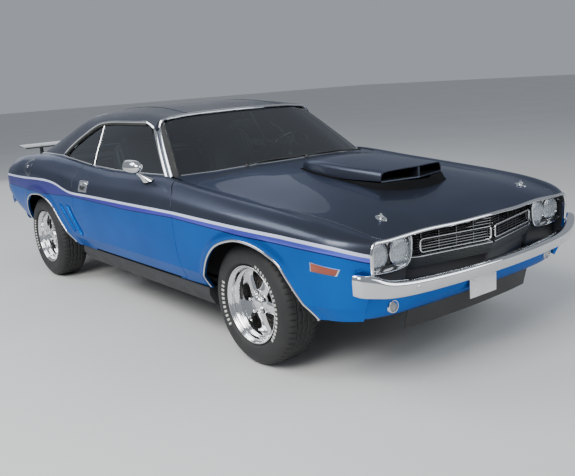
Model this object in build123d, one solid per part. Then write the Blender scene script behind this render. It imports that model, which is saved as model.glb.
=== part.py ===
from build123d import *
import math
import os

# Two-door hardtop muscle car of the early 1970s, standing on its wheels.
# Millimetres. +X is forward, +Y is the car's left, +Z is up. The origin is on
# the ground, midway between the bumpers and midway between the two sides.
os.makedirs("parts", exist_ok=True)

# ------------------------------------------------------------ driving sizes
LENGTH = 4860.0
HALF_L = LENGTH / 2
WHEELBASE = 2794.0
FRONT_AXLE_X = 1500.0
REAR_AXLE_X = FRONT_AXLE_X - WHEELBASE
HUB_Z = 325.0
TYRE_R = 325.0
FRONT_LIP_Y = 854.0          # outer rim lip plane, front
REAR_LIP_Y = 879.0           # outer rim lip plane, rear
KINGPIN_Y = 690.0
STEER_MAX = 33.0
PANEL_GAP = 6.0
SKIN = 16.0                  # single panel with its folded edges
DOOR_INNER_Y = 778.0         # inner face of the door casing
CABIN_Y = 772.0
BELT_Z = 925.0
ROOF_T = 26.0
GLASS_T = 6.0
HOOD_REAR_X = 930.0
COWL_X = 922.0
FIREWALL_X = 880.0
DECK_FRONT_X = -1680.0
TAIL_X = -2345.0

# ------------------------------------------------------------------ helpers
def poly(pts):
    return Face(Wire.make_polygon([Vector(*p) for p in pts], close=True))


def prism_xz(pts, y0, y1):
    """Outline in the side view, pulled from y0 to y1."""
    return Solid.extrude(poly([(x, y0, z) for x, z in pts]), Vector(0, y1 - y0, 0))


def prism_xy(pts, z0, z1):
    """Outline in the plan view, pulled from z0 to z1."""
    return Solid.extrude(poly([(x, y, z0) for x, y in pts]), Vector(0, 0, z1 - z0))


def prism_yz(pts, x0, x1):
    """Outline in the front view, pulled from x0 to x1."""
    return Solid.extrude(poly([(x0, y, z) for y, z in pts]), Vector(x1 - x0, 0, 0))


def box(x0, x1, y0, y1, z0, z1):
    return Solid.make_box(x1 - x0, y1 - y0, z1 - z0, Plane(origin=(x0, y0, z0)))


def rod(a, b, r):
    a, b = Vector(*a), Vector(*b)
    d = b - a
    return Solid.make_cylinder(r, d.length, Plane(origin=a, z_dir=d))


def ruled(sections):
    """Straight-ruled loft through closed polygons with equal point counts."""
    ws = [Wire.make_polygon([Vector(*p) for p in s], close=True) for s in sections]
    return Solid.make_loft(ws, ruled=True)


def mirror_y(s):
    return s.mirror(Plane.XZ)


def solids_of(s):
    if isinstance(s, (list, ShapeList, tuple)):
        out = []
        for k in s:
            out += solids_of(k)
        return out
    return list(s.solids())


def save(name, shape):
    """One STEP file per node; slivers from the panel cuts are dropped."""
    ss = [k for k in solids_of(shape) if abs(k.volume) > 60.0]
    big = max(abs(k.volume) for k in ss)
    ss = [k for k in ss if abs(k.volume) > 1e-4 * big]
    obj = ss[0] if len(ss) == 1 else Compound(children=ss)
    export_step(obj, "parts/" + name + ".step")
    print(name, len(ss), "solids", round(sum(k.volume for k in ss) / 1e6, 2), "litres")


def pair(name, left):
    save(name + "_left", left)
    save(name + "_right", mirror_y(left) if not isinstance(left, list) else [mirror_y(k) for k in left])


# ------------------------------------------------------- body side sections
# Columns: x, then (y, z) of: 1 lower edge, 2 lower crease, 3 mid side,
# 4 character line, 5 shoulder, 6 top edge, 7 hood, glass or deck line,
# 8 hood crease, and z on the centre line.
SECTIONS = [
    (2400, (560, 400), (600, 450), (625, 570), (630, 680), (618, 706), (600, 718), (580, 720), (380, 718), 742),
    (2300, (690, 385), (726, 445), (745, 570), (752, 690), (738, 724), (712, 738), (684, 740), (415, 772), 780),
    (2240, (765, 378), (802, 443), (820, 572), (828, 697), (806, 742), (752, 758), (696, 754), (422, 792), 801),
    (2150, (812, 370), (854, 440), (872, 575), (879, 703), (860, 757), (792, 781), (705, 778), (430, 818), 824),
    (2000, (830, 360), (880, 438), (898, 580), (906, 714), (886, 775), (812, 808), (722, 806), (430, 843), 850),
    (1750, (835, 355), (892, 436), (915, 585), (924, 725), (903, 792), (830, 832), (742, 830), (430, 872), 880),
    (1500, (840, 352), (897, 436), (922, 590), (933, 736), (912, 806), (838, 852), (752, 850), (430, 894), 902),
    (1250, (842, 350), (900, 436), (926, 595), (937, 745), (916, 820), (842, 872), (758, 870), (430, 912), 920),
    (1000, (845, 348), (902, 437), (928, 600), (939, 752), (918, 833), (840, 893), (764, 892), (430, 929), 935),
    (880, (846, 346), (903, 437), (929, 602), (940, 755), (918, 842), (838, 906), (766, 906), (430, 935), 940),
    (650, (847, 345), (903, 437), (930, 604), (940, 757), (914, 852), (828, 928), (766, 930), (430, 934), 936),
    (300, (848, 344), (904, 438), (932, 606), (942, 758), (914, 850), (822, 921), (762, 924), (430, 926), 926),
    (-100, (850, 343), (906, 438), (936, 608), (947, 758), (918, 848), (822, 918), (762, 922), (430, 924), 924),
    (-450, (850, 342), (908, 438), (942, 610), (957, 764), (928, 858), (832, 932), (764, 938), (430, 940), 940),
    (-700, (850, 342), (908, 438), (946, 615), (963, 800), (942, 885), (845, 955), (765, 960), (430, 962), 962),
    (-1000, (848, 342), (908, 438), (948, 630), (966, 826), (952, 905), (858, 975), (764, 980), (430, 982), 982),
    (-1300, (838, 345), (897, 440), (943, 640), (966, 834), (952, 912), (862, 975), (750, 980), (430, 982), 982),
    (-1600, (812, 352), (868, 448), (932, 635), (960, 820), (943, 898), (855, 962), (712, 968), (430, 972), 974),
    (-1900, (770, 370), (832, 458), (918, 622), (938, 796), (905, 868), (820, 930), (694, 942), (430, 950), 953),
    (-2150, (712, 392), (772, 466), (852, 612), (862, 764), (832, 840), (760, 896), (672, 910), (430, 918), 921),
    (-2400, (655, 412), (705, 474), (775, 600), (786, 728), (760, 806), (712, 862), (652, 880), (430, 888), 891),
]


def body_ring(row, t=0.0):
    """Closed section of the whole lower body, set in by t on every side."""
    x, pts, zc = row[0], row[1:9], row[9]
    half = []
    for k, (y, z) in enumerate(pts):
        dy = t if k < 6 else 0.0
        dz = t if k == 0 else (-t if k >= 5 else 0.0)
        half.append((y - dy, z + dz))
    ring = [(x, y, z) for y, z in half] + [(x, 0, zc - t)]
    return ring + [(x, -y, z) for y, z in reversed(half)]


body_outer = ruled([body_ring(r) for r in SECTIONS])
body_inner = ruled([body_ring(r, SKIN) for r in SECTIONS])


def under_ring(row):
    x, (y0, z0) = row[0], row[1]
    w = y0 - SKIN - 2
    return [(x, w, z0 - 40), (x, w, z0 + SKIN + 1), (x, -w, z0 + SKIN + 1), (x, -w, z0 - 40)]


# the open underside between the side panels
underside = ruled([under_ring(r) for r in SECTIONS])

# ------------------------------------------------------- greenhouse sections
# Columns: x, then (y, z) of: 1 sill, 2 mid, 3 roof rail, 4 roof quarter
# point, and z on the centre line. Windshield and rear window are cut from it.
GREENHOUSE = [
    (900, (790, 900), (700, 1070), (598, 1226), (430, 1248), 1254),
    (300, (786, 900), (700, 1080), (602, 1240), (430, 1262), 1268),
    (0, (786, 900), (702, 1085), (608, 1258), (460, 1296), 1308),
    (-300, (790, 900), (706, 1087), (610, 1260), (460, 1306), 1320),
    (-600, (795, 905), (712, 1082), (606, 1250), (455, 1296), 1312),
    (-900, (795, 920), (716, 1076), (600, 1228), (445, 1268), 1282),
    (-1250, (788, 930), (716, 1036), (600, 1130), (440, 1164), 1176),
    (-1700, (706, 940), (690, 956), (636, 968), (440, 984), 990),
]
WS_FOOT = (800.0, 930.0)      # windshield plane on the centre line: x, z
WS_HEAD = (300.0, 1262.0)
RW_HEAD = (-930.0, 1275.0)    # rear window plane
RW_FOOT = (-1650.0, 967.0)


def gh_ring(row, t=0.0):
    x, pts, zc = row[0], row[1:5], row[5]
    half = []
    for k, (y, z) in enumerate(pts):
        half.append((y - (t if k < 3 else 0.0), z - (t if k >= 2 else 0.0)))
    ring = [(x, y, z) for y, z in half] + [(x, 0, zc - t)]
    return ring + [(x, -y, z) for y, z in reversed(half)]


gh_outer = ruled([gh_ring(r) for r in GREENHOUSE])
gh_inner = ruled([gh_ring(r, ROOF_T) for r in GREENHOUSE])


def slab_between(p, q, t, y0, y1, ext0=0.0, ext1=0.0):
    """Flat slab across the car whose outer face passes through p and q in the
    side view, t thick inwards, run past p and q by ext0 and ext1."""
    d = Vector(q[0] - p[0], 0, q[1] - p[1]).normalized()
    n = Vector(-d.Z, 0, d.X)
    if n.Z < 0:
        n = n * -1
    a = Vector(p[0], 0, p[1]) - d * ext0
    b = Vector(q[0], 0, q[1]) + d * ext1
    c, e = b - n * t, a - n * t
    return prism_xz([(v.X, v.Z) for v in (a, b, c, e)], y0, y1)


# everything ahead of the windshield plane, and behind the rear window plane
ahead = prism_xz([(WS_FOOT[0] + 150, WS_FOOT[1] - 100), (WS_HEAD[0] - 150, WS_HEAD[1] + 100), (1400, 1500), (1400, 800)], -1000, 1000)
behind = prism_xz([(RW_FOOT[0] - 250, RW_FOOT[1] - 107), (RW_HEAD[0], RW_HEAD[1]), (RW_HEAD[0], 1500), (-2600, 1500), (-2600, 800)], -1000, 1000)
behind = behind & prism_xy([(-900, 500), (-1640, 566), (-2600, 640), (-2600, -640), (-1640, -566), (-900, -500)], 700, 1500)

# ------------------------------------------------------------ side outlines
# Side view, x and z. The door is drawn full size; its neighbours keep off it
# by the panel gap.
DOOR = [(772, 1000), (800, 912), (869, 865), (906, 803), (913, 720), (907, 588), (902, 489), (910, 438), (880, 370), (870, 356),
        (-405, 356), (-412, 448), (-455, 500), (-476, 560), (-486, 640), (-468, 720), (-452, 783), (-470, 860), (-486, 1000)]
FRONT_ARCH = [(1150, 290), (1150, 400), (1194, 486), (1253, 560), (1342, 628), (1478, 674), (1565, 684), (1683, 672),
              (1773, 645), (1846, 607), (1893, 547), (1938, 487), (1982, 432), (2015, 370), (2025, 290)]
REAR_ARCH = [(-1665, 280), (-1650, 400), (-1612, 480), (-1540, 560), (-1450, 630), (-1340, 674), (-1228, 690), (-1094, 694),
             (-979, 667), (-884, 615), (-842, 550), (-800, 485), (-753, 420), (-724, 372), (-700, 280)]
# hood and fender line in plan, x and y, from the cowl to the nose
HOOD_LINE = [(HOOD_REAR_X, 765), (1250, 758), (1500, 752), (1750, 742), (2000, 722), (2150, 705), (2250, 694), (2292, 686)]
NOSE = [(2292, 683), (2330, 350), (2372, 0), (2330, -350), (2292, -683)]


def grow(pts, cx, cz, g):
    """Moves each outline point away from the outline's middle by g."""
    out = []
    for x, z in pts:
        out.append((x + (g if x > cx else -g), z + (g if z > cz else -g)))
    return out


# ------------------------------------------------------------------ doors
door_cx, door_cz = 200, 640
left_half = box(-3000, 3000, DOOR_INNER_Y, 1100, 0, 1100)
door_prism = prism_xz(DOOR, DOOR_INNER_Y, 1050)
door_hole = prism_xz(grow(DOOR, door_cx, door_cz, PANEL_GAP), 600, 1100)
door = body_outer & door_prism

# side glass: flat panes that lean in with the greenhouse
def lean_pane(outline, y_low, z_low, y_high, z_high, t):
    """Pane in the side outline, leaning from y_low at z_low to y_high."""
    k = (y_high - y_low) / (z_high - z_low)
    zs = (700.0, 1400.0)
    ya, yb = y_low + k * (zs[0] - z_low), y_low + k * (zs[1] - z_low)
    slab = prism_yz([(ya, zs[0]), (yb, zs[1]), (yb - t, zs[1]), (ya - t, zs[0])], -2600, 2600)
    return slab & prism_xz(outline, 300, 1000)


GLASS_LEAN = (790, 915, 628, 1212)
DOOR_GLASS = [(596, 890), (600, 935), (222, 1206), (160, 1214), (-482, 1212), (-452, 890)]
QUARTER_GLASS = [(-486, 905), (-490, 1208), (-560, 1196), (-700, 1145), (-860, 1068), (-985, 985), (-1000, 905)]
door_glass = lean_pane(DOOR_GLASS, *GLASS_LEAN, GLASS_T)
quarter_glass = lean_pane(QUARTER_GLASS, *GLASS_LEAN, GLASS_T)
door = door - door_glass
pair("door", door)
pair("door_glass", door_glass)

# door mirror, on the right door only: a bullet-shaped shell on a short foot
mir_axis = Plane(origin=(505, 930, 995), z_dir=(1, 0, 0))
mirror_shell = Solid.make_cone(42, 24, 76, mir_axis) + Solid.make_cylinder(42, 76, Plane(origin=(430, 930, 995), z_dir=(1, 0, 0)))
mirror_foot = ruled([
    [(560, 835, 925), (470, 835, 925), (470, 880, 905), (560, 880, 905)],
    [(528, 900, 966), (486, 900, 966), (486, 930, 966), (528, 930, 966)],
])
door_mirror = mirror_shell + mirror_foot
door_mirror = door_mirror - body_outer - prism_xz(grow(DOOR, door_cx, door_cz, 0), 700, 800)
save("door_mirror_right", mirror_y(door_mirror))

# ------------------------------------------------------------- front fenders
fender_zone = prism_xy([(700, 770)] + [(x, y + PANEL_GAP / 2) for x, y in HOOD_LINE] + [(2294, 690), (2282, 1050), (700, 1050)], 330, 1000)
fender = (body_outer & fender_zone) - body_inner
fender = fender - door_hole - prism_xz(FRONT_ARCH, 600, 1050) - underside
fender_left = fender

# ----------------------------------------------------------------- hood
hood_plan = [(x, y - PANEL_GAP / 2) for x, y in HOOD_LINE] + NOSE + [(x, -(y - PANEL_GAP / 2)) for x, y in reversed(HOOD_LINE)]
hood_block = body_outer & prism_xy(hood_plan, 600, 1000)
hood = hood_block - body_outer.moved(Location((0, 0, -24)))
save("hood", hood)

# raised twin-nostril scoop: a shallow tray with its mouth above the hood
SCOOP = [  # columns: x, half width, top z
    (1912, 239, 952),
    (1855, 238, 955),
    (1600, 236, 968),
    (1300, 215, 980),
    (1100, 170, 972),
    (1010, 90, 952),
]
def scoop_ring(x, w, zt, t=0.0):
    zb = 840
    return [(x, w - t, zb), (x, w - t - 8, zt - 18 - t), (x, w - t - 26, zt - t), (x, -(w - t - 26), zt - t), (x, -(w - t - 8), zt - 18 - t), (x, -(w - t), zb)]
scoop = ruled([scoop_ring(*r) for r in SCOOP]) & prism_xy([(1912, -12), (1912, 12), (1856, 238), (1000, 260), (1000, -260), (1856, -238)], 800, 1000)
scoop_hollow = ruled([scoop_ring(x + 12, w, zt, 9.0) for x, w, zt in SCOOP[:3]]) - box(1000, 2000, -8, 8, 700, 1100)
scoop = scoop - scoop_hollow - body_outer.moved(Location((0, 0, 0.5)))
save("hood_scoop", scoop)

# ------------------------------------------------------------- rear quarters
quarter_zone = prism_xz([(-450, 335), (-450, 1100), (TAIL_X, 1100), (TAIL_X, 335)], 640, 1100)
quarter = body_outer & quarter_zone
quarter = quarter - (body_inner & box(-2500, -1250, 0, 1100, 300, 1200))
quarter = quarter - (body_inner & box(-1260, -690, 0, 1100, 300, 700))
quarter = quarter - door_hole - prism_xz(REAR_ARCH, 600, 1100)
deck_plan = [(DECK_FRONT_X, 672), (-1900, 668), (-2150, 650), (TAIL_X + 20, 634)]
deck_hole = prism_xy([(x, y) for x, y in deck_plan] + [(TAIL_X - 60, 634), (TAIL_X - 60, -634)] + [(x, -y) for x, y in reversed(deck_plan)], 700, 1100)
cabin_cut = box(-1255, 900, -CABIN_Y + 92, CABIN_Y - 92, 0, 1200)
quarter = quarter - deck_hole - cabin_cut
# the glass and the roof stand on the panel's top
quarter = quarter - quarter_glass - underside
save("quarter_glass", [quarter_glass, mirror_y(quarter_glass)])

# ------------------------------------------------------- roof with pillars
roof = gh_outer - gh_inner
rear_hole = prism_xy([(-950, 492), (-1622, 556), (-1622, -556), (-950, -492)], 700, 1500)
roof = roof - ahead - behind - rear_hole - box(-1800, -1672, -900, 900, 850, 1100)
WINDOW_SIDE = [(700, 880), (612, 945), (228, 1214), (160, 1222), (-490, 1220), (-562, 1204), (-704, 1152), (-866, 1075), (-992, 990), (-1012, 880)]
roof = roof - prism_xz(WINDOW_SIDE, -1000, 1000)
roof = roof - body_outer
# A-pillars: slim bars beside the windshield
a_pillar = ruled([
    [(655, 762, 912), (608, 768, 912), (598, 734, 912), (640, 726, 912)],
    [(256, 602, 1228), (212, 608, 1228), (202, 582, 1228), (242, 572, 1228)],
])
corner_cut = prism_xz([(660, 870), (660, 928), (285, 1226), (285, 1300), (420, 1300), (900, 960), (900, 870)], 590, 1000)
roof = roof - corner_cut - mirror_y(corner_cut)
roof = roof + a_pillar + mirror_y(a_pillar)

# windshield, bowed forward: columns: foot y, x, z, then head y, x, z
WINDSHIELD = [
    (-738, 675, 921, -585, 275, 1232), (-650, 715, 925, -520, 280, 1245), (-450, 770, 928, -370, 292, 1257),
    (0, 800, 930, 0, 300, 1262),
    (450, 770, 928, 370, 292, 1257), (650, 715, 925, 520, 280, 1245), (738, 675, 921, 585, 275, 1232),
]
IN = (-3.3, -5.0)
windshield = ruled([
    [(xf, yf, zf), (xh, yh, zh), (xh + IN[0], yh, zh + IN[1]), (xf + IN[0], yf, zf + IN[1])]
    for yf, xf, zf, yh, xh, zh in WINDSHIELD
])
REAR_WINDOW = [  # columns as the windshield's
    (-560, -1618, 966, -498, -962, 1244), (-400, -1632, 968, -350, -968, 1258), (0, -1640, 969, 0, -972, 1264),
    (400, -1632, 968, 350, -968, 1258), (560, -1618, 966, 498, -962, 1244),
]
rear_window = ruled([
    [(xf, yf, zf), (xh, yh, zh), (xh + 2.2, yh, zh - 5.6), (xf + 2.2, yf, zf - 5.6)]
    for yf, xf, zf, yh, xh, zh in REAR_WINDOW
])
windshield = windshield - body_outer
roof = roof - windshield - rear_window
save("roof", roof)
save("windshield", windshield)
save("rear_window", rear_window)

# ------------------------------------------------------------ trunk lid
deck_in = [(x - (0 if k else PANEL_GAP), y - PANEL_GAP) for k, (x, y) in enumerate(deck_plan)]
trunk_plan = deck_in[:-1] + [(TAIL_X + 27, 628), (TAIL_X + 27, -628)] + [(x, -y) for x, y in reversed(deck_in[:-1])]
trunk = (body_outer & prism_xy(trunk_plan, 700, 1100)) - body_outer.moved(Location((0, 0, -22)))
save("trunk_lid", trunk)


# rear wing: a slim blade on two pedestals, carried by the lid
WING_HALF = 655.0
blade = prism_xz([(-2206, 974), (-2215, 984), (-2300, 997), (-2398, 1004), (-2400, 998), (-2300, 986)], -WING_HALF, WING_HALF)
pedestal = prism_xz([(-2226, 860), (-2238, 984), (-2306, 992), (-2312, 860)], 470, 500) - body_outer
pedestal = pedestal - blade
save("rear_wing", blade + pedestal + mirror_y(pedestal))

# ------------------------------------------------------------- body shell
deck_filler = (body_outer & box(DECK_FRONT_X + 2, -1628, -640, 640, 700, 1100)) - body_outer.moved(Location((0, 0, -22)))
cowl_top = (body_outer & box(770, COWL_X, -760, 760, 700, 1100)) - body_outer.moved(Location((0, 0, -22))) - door_hole - mirror_y(door_hole)
cowl_top = cowl_top - windshield
TUNNEL_Y = 118.0
FLOOR_REAR_X = -640.0
tunnel_hole = box(-1100, 900, -TUNNEL_Y + 14, TUNNEL_Y - 14, 200, 386)
floor = box(FLOOR_REAR_X, 866, -735, 735, 232, 246)
tunnel = box(FLOOR_REAR_X, 866, -TUNNEL_Y, TUNNEL_Y, 246, 400)
firewall = box(866, 880, -735, 735, 232, 900)
kick_up = box(FLOOR_REAR_X - 14, FLOOR_REAR_X, -735, 735, 232, 434)
sill = prism_yz([(735, 236), (812, 236), (846, 296), (846, 338), (768, 338), (768, 372), (735, 372)], FLOOR_REAR_X, 1100)
hinge_post = box(806, 866, 700, 735, 246, 880) + box(806, 866, 735, 768, 372, 880)
quarter_both = quarter + mirror_y(quarter)
floor_pan = (floor + tunnel + kick_up) - tunnel_hole - quarter_both
front_wall = firewall - tunnel_hole
rail_front = box(880, 2160, 400, 460, 350, 440)
apron = prism_xz([(880, 440), (2160, 440), (2160, 712), (2050, 752), (1500, 800), (880, 840)], 452, 460)
apron_top = prism_xz([(880, 806), (1500, 776), (2160, 694), (2160, 702), (1500, 784), (880, 814)], 460, 738)
radiator_wall = box(2160, 2190, -690, 690, 372, 696)
rear_floor = box(-2326, FLOOR_REAR_X - 14, -590, 590, 420, 434)
boot_side = prism_xy([(-2326, 590), (-2326, 640), (-1782, 770), (-1782, 590)], 420, 434)
rail_rear = box(-2270, FLOOR_REAR_X - 14, 455, 515, 372, 420)
for piece in (boot_side, rail_rear):
    rear_floor = rear_floor + piece + mirror_y(piece)
tub = box(-1770, -690, 590, 602, 330, 722) + box(-1770, -690, 602, 664, 710, 722) + box(-1770, -1262, 664, 900, 710, 722)
tub = tub + box(-1782, -1770, 590, 800, 434, 722) + box(-704, -690, 602, 679, 232, 710)
tub = tub - box(-1360, -1228, 580, 610, 300, 440)
bulkhead = box(-1244, -1232, -589, 589, 434, 905)
shelf = box(-1640, -1232, -676, 676, 905, 917)
save("floor_pan", floor_pan)
save("sills", [sill - quarter, mirror_y(sill - quarter)])
fender_well = apron + apron_top + rail_front
save("inner_fenders", [fender_well, mirror_y(fender_well)])
save("trunk_floor", rear_floor - quarter_both)
save("wheel_tubs", [tub - quarter, mirror_y(tub - quarter)])
save("cross_walls", [front_wall + hinge_post + mirror_y(hinge_post), radiator_wall, (bulkhead + shelf) - quarter_both])
save("cowl_panel", cowl_top - front_wall)
save("deck_panel", deck_filler - rear_window)

# ---------------------------------------------------------------- tail
tail_sheet = body_inner & box(TAIL_X, TAIL_X + 18, -1000, 1000, 380, 1000)
rear_valance = prism_xz([(-2345, 420), (-2345, 398), (-2290, 345), (-2246, 340), (-2246, 354), (-2284, 358), (-2327, 404), (-2327, 420)], -640, 640)
TAIL_LAMP = (110, 690, 640, 735)
lamp = box(TAIL_X - 8, TAIL_X + 0, TAIL_LAMP[0], TAIL_LAMP[1], TAIL_LAMP[2], TAIL_LAMP[3])
tail_panel = tail_sheet + rear_valance
save("tail_lamps", [lamp, mirror_y(lamp)])

# ------------------------------------------------------------------ bumpers
# Columns: outer x, outer y, inner x, inner y, lower z, upper z.
FRONT_BUMPER = [
    (2430, 0, 2388, 0, 482, 548), (2420, 300, 2378, 296, 482, 549), (2396, 550, 2354, 540, 484, 556), (2368, 690, 2328, 674, 490, 570),
    (2342, 770, 2306, 748, 502, 600), (2308, 826, 2284, 802, 512, 614), (2268, 842, 2254, 822, 520, 612),
]
REAR_BUMPER = [
    (-2430, 0, -2392, 0, 500, 585), (-2427, 300, -2389, 298, 500, 585), (-2415, 540, -2379, 532, 500, 587),
    (-2390, 690, -2361, 676, 501, 590), (-2340, 778, -2322, 764, 503, 592), (-2230, 822, -2228, 806, 505, 590),
]


def bumper_ring(row, grow_by=0.0, sign=1):
    xo, yo, xi, yi, z0, z1 = row
    dx, dy = xo - xi, yo - yi
    n = math.hypot(dx, dy)
    dx, dy = dx / n, dy / n
    xi, yi = xi - dx * grow_by, yi - dy * grow_by
    xo, yo = xo + dx * grow_by, yo + dy * grow_by
    z0, z1 = z0 - grow_by, z1 + grow_by
    c = (z1 - z0) * 0.22
    e = min(n, 14.0)
    pts = [(xi, yi, z0), (xo - dx * e, yo - dy * e, z0), (xo, yo, z0 + c), (xo, yo, z1 - c), (xo - dx * e, yo - dy * e, z1), (xi, yi, z1)]
    return [(x, sign * y, z) for x, y, z in pts]


def bumper(table, grow_by=0.0):
    rows = [bumper_ring(r, grow_by, -1) for r in reversed(table[1:])] + [bumper_ring(r, grow_by, 1) for r in table]
    return ruled(rows)


front_bumper = bumper(FRONT_BUMPER)
rear_bumper = bumper(REAR_BUMPER)
save("front_bumper", front_bumper)
save("rear_bumper", rear_bumper)
pair("front_fender", fender_left - bumper(FRONT_BUMPER, 5.0))
pair("rear_quarter", quarter - bumper(REAR_BUMPER, 5.0) - tail_panel)
save("tail_panel", tail_panel - bumper(REAR_BUMPER, 5.0))

# ------------------------------------------------------------------- front
grille_front = [(2372, 0), (2280, 428), (2256, 470), (2246, 760)]
grille_plan = grille_front + [(x - 12, y - (8 if 0 < y < 700 else 0)) for x, y in reversed(grille_front)] + [(x - 12, -y + (8 if 0 < y < 700 else 0)) for x, y in grille_front[1:]] + [(x, -y) for x, y in reversed(grille_front[1:])]
grille = prism_xy(grille_plan, 530, 696)
LAMPS = [(2262, 535, 679), (2256, 672, 679)]     # columns: front x, y, z
LAMP_R = 66.0
lamps = []
for x, y, z in LAMPS:
    for s in (-1, 1):
        lamps.append(Solid.make_cylinder(LAMP_R, 60, Plane(origin=(x - 60, s * y, z - 22), z_dir=(1, 0, 0))))
for l in lamps:
    grille = grille - l
save("grille", grille)
save("headlamps", lamps)
valance = ruled([
    [(2194, 738, 470), (2230, 738, 470), (2222, 738, 410), (2202, 738, 372), (2190, 738, 372), (2186, 738, 410)],
    [(2236, 560, 470), (2288, 560, 470), (2280, 560, 405), (2250, 560, 366), (2236, 560, 366), (2230, 560, 405)],
    [(2254, 0, 470), (2306, 0, 470), (2298, 0, 402), (2268, 0, 362), (2254, 0, 362), (2248, 0, 402)],
    [(2236, -560, 470), (2288, -560, 470), (2280, -560, 405), (2250, -560, 366), (2236, -560, 366), (2230, -560, 405)],
    [(2194, -738, 470), (2230, -738, 470), (2222, -738, 410), (2202, -738, 372), (2190, -738, 372), (2186, -738, 410)],
])
chin = ruled([
    [(2240, 474, 378), (2250, 474, 378), (2224, 474, 268), (2214, 474, 266)],
    [(2250, 240, 378), (2260, 240, 378), (2244, 240, 266), (2234, 240, 264)],
    [(2256, 0, 378), (2266, 0, 378), (2252, 0, 265), (2242, 0, 263)],
    [(2250, -240, 378), (2260, -240, 378), (2244, -240, 266), (2234, -240, 264)],
    [(2240, -474, 378), (2250, -474, 378), (2224, -474, 268), (2214, -474, 266)],
])
save("front_valance", [valance - chin, chin])

# ----------------------------------------------------------------- interior
dash = prism_xz([(770, 878), (640, 915), (520, 912), (462, 880), (452, 800), (500, 700), (640, 680), (770, 700)], -716, 716)
COL_DIR = Vector(math.cos(math.radians(24)), 0, -math.sin(math.radians(24)))
WHEEL_C = Vector(330, 372, 900)
column = Solid.make_cylinder(32, 190, Plane(origin=WHEEL_C + COL_DIR * 42, z_dir=COL_DIR))
save("dashboard", dash + column)
sw_plane = Plane(origin=WHEEL_C, z_dir=COL_DIR)
sw_rim = Solid.make_torus(188, 11, sw_plane)
sw_hub = Solid.make_cylinder(38, 38, sw_plane)
sw = sw_rim + sw_hub
for a in (90, 210, 330):
    sp = Solid.make_box(186, 26, 8, Plane(origin=(0, -13, 8))).rotate(Axis.Z, a + 0)
    sw = sw + sw_plane.location * sp
save("steering_wheel", sw)

SEAT_Y = 372.0
SEAT_W = 235.0
seat_side = [(110, 380), (120, 500), (60, 525), (-330, 500), (-395, 560), (-500, 900), (-545, 1090), (-575, 1120), (-625, 1110), (-640, 1050), (-560, 700), (-480, 420), (-440, 380)]
seat = prism_xz(seat_side, SEAT_Y - SEAT_W, SEAT_Y + SEAT_W)
seat_base = box(-400, 60, SEAT_Y - 190, SEAT_Y + 190, 246, 380)
seat_one = seat + seat_base
save("front_seats", [seat_one, mirror_y(seat_one)])
save("rear_seat", prism_xz([(-666, 436), (-660, 540), (-715, 562), (-1010, 520), (-1110, 880), (-1225, 890), (-1225, 436)], -575, 575))

# ------------------------------------------------------- engine and chassis
save("engine_block", box(1150, 1870, -250, 250, 352, 800) + box(480, 1160, -100, 100, 268, 372))
cross = box(1400, 1600, -400, 400, 300, 350) + box(1440, 1560, 400, 452, 300, 350) + box(1440, 1560, -452, -400, 300, 350)
ARM_Z = (178.0, 190.0)         # lower arm; the upper one mirrors it about the hub
arm_low = box(1478, 1522, 430, 690, ARM_Z[0], ARM_Z[1]) + box(1400, 1600, 430, 470, ARM_Z[0], 302)
arm_low = arm_low + Solid.make_cylinder(22, ARM_Z[1] - ARM_Z[0], Plane(origin=(FRONT_AXLE_X, KINGPIN_Y, ARM_Z[0]), z_dir=(0, 0, 1)))
arm_top = box(1480, 1520, 461, 690, 2 * HUB_Z - ARM_Z[1], 2 * HUB_Z - ARM_Z[0]) + box(1420, 1580, 461, 500, 460, 500)
arm_top = arm_top + Solid.make_cylinder(20, ARM_Z[1] - ARM_Z[0], Plane(origin=(FRONT_AXLE_X, KINGPIN_Y, 2 * HUB_Z - ARM_Z[1]), z_dir=(0, 0, 1)))
susp = cross
for piece in (arm_low, arm_top):
    susp = susp + piece + mirror_y(piece)
save("front_suspension", susp)
upright = box(1475, 1525, 672, 706, 212, 438)
upright = upright + Solid.make_cylinder(18, 2 * (HUB_Z - ARM_Z[1]) - 1.2, Plane(origin=(FRONT_AXLE_X, KINGPIN_Y, ARM_Z[1] + 0.6), z_dir=(0, 0, 1)))
SPINDLE_R = 20.0
spindle = Solid.make_cylinder(SPINDLE_R, 92, Plane(origin=(FRONT_AXLE_X, 704, HUB_Z), z_dir=(0, 1, 0)))
pair("front_knuckle", upright + spindle)
axle = rod((REAR_AXLE_X, -725, HUB_Z), (REAR_AXLE_X, 725, HUB_Z), 38)
axle = axle + rod((REAR_AXLE_X, -820, HUB_Z), (REAR_AXLE_X, 820, HUB_Z), SPINDLE_R)
DIFF_R = 92.0
diff = Solid.make_sphere(DIFF_R, Plane(origin=(REAR_AXLE_X, 0, HUB_Z)), -90, 90, 360)
driveshaft = rod((479, 0, 322), (REAR_AXLE_X + 40, 0, HUB_Z), 36)
save("rear_axle", axle + diff + driveshaft)
SPRING = [(-700, 300), (-900, 262), (-1294, 250), (-1650, 285), (-1990, 350)]
spring_pts = [(x, z + 12) for x, z in SPRING] + [(x, z - 12) for x, z in reversed(SPRING)]
spring = prism_xz(spring_pts, 530, 586) + box(-1340, -1248, 530, 586, 255, 300) + box(-715, -685, 530, 586, 300, 420) + box(-2000, -1980, 534, 582, 340, 420)
spring = spring - axle
save("leaf_springs", [spring, mirror_y(spring)])
pipe = rod((1120, 262, 330), (1000, 262, 196), 26) + rod((1000, 262, 196), (-820, 262, 196), 26) + rod((-820, 262, 196), (-1000, 420, 200), 26)
pipe = pipe + rod((-1000, 420, 200), (-1600, 420, 205), 26) + rod((-1580, 420, 232), (-2040, 420, 232), 72) + rod((-2030, 420, 232), (-2338, 420, 262), 28)
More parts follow.
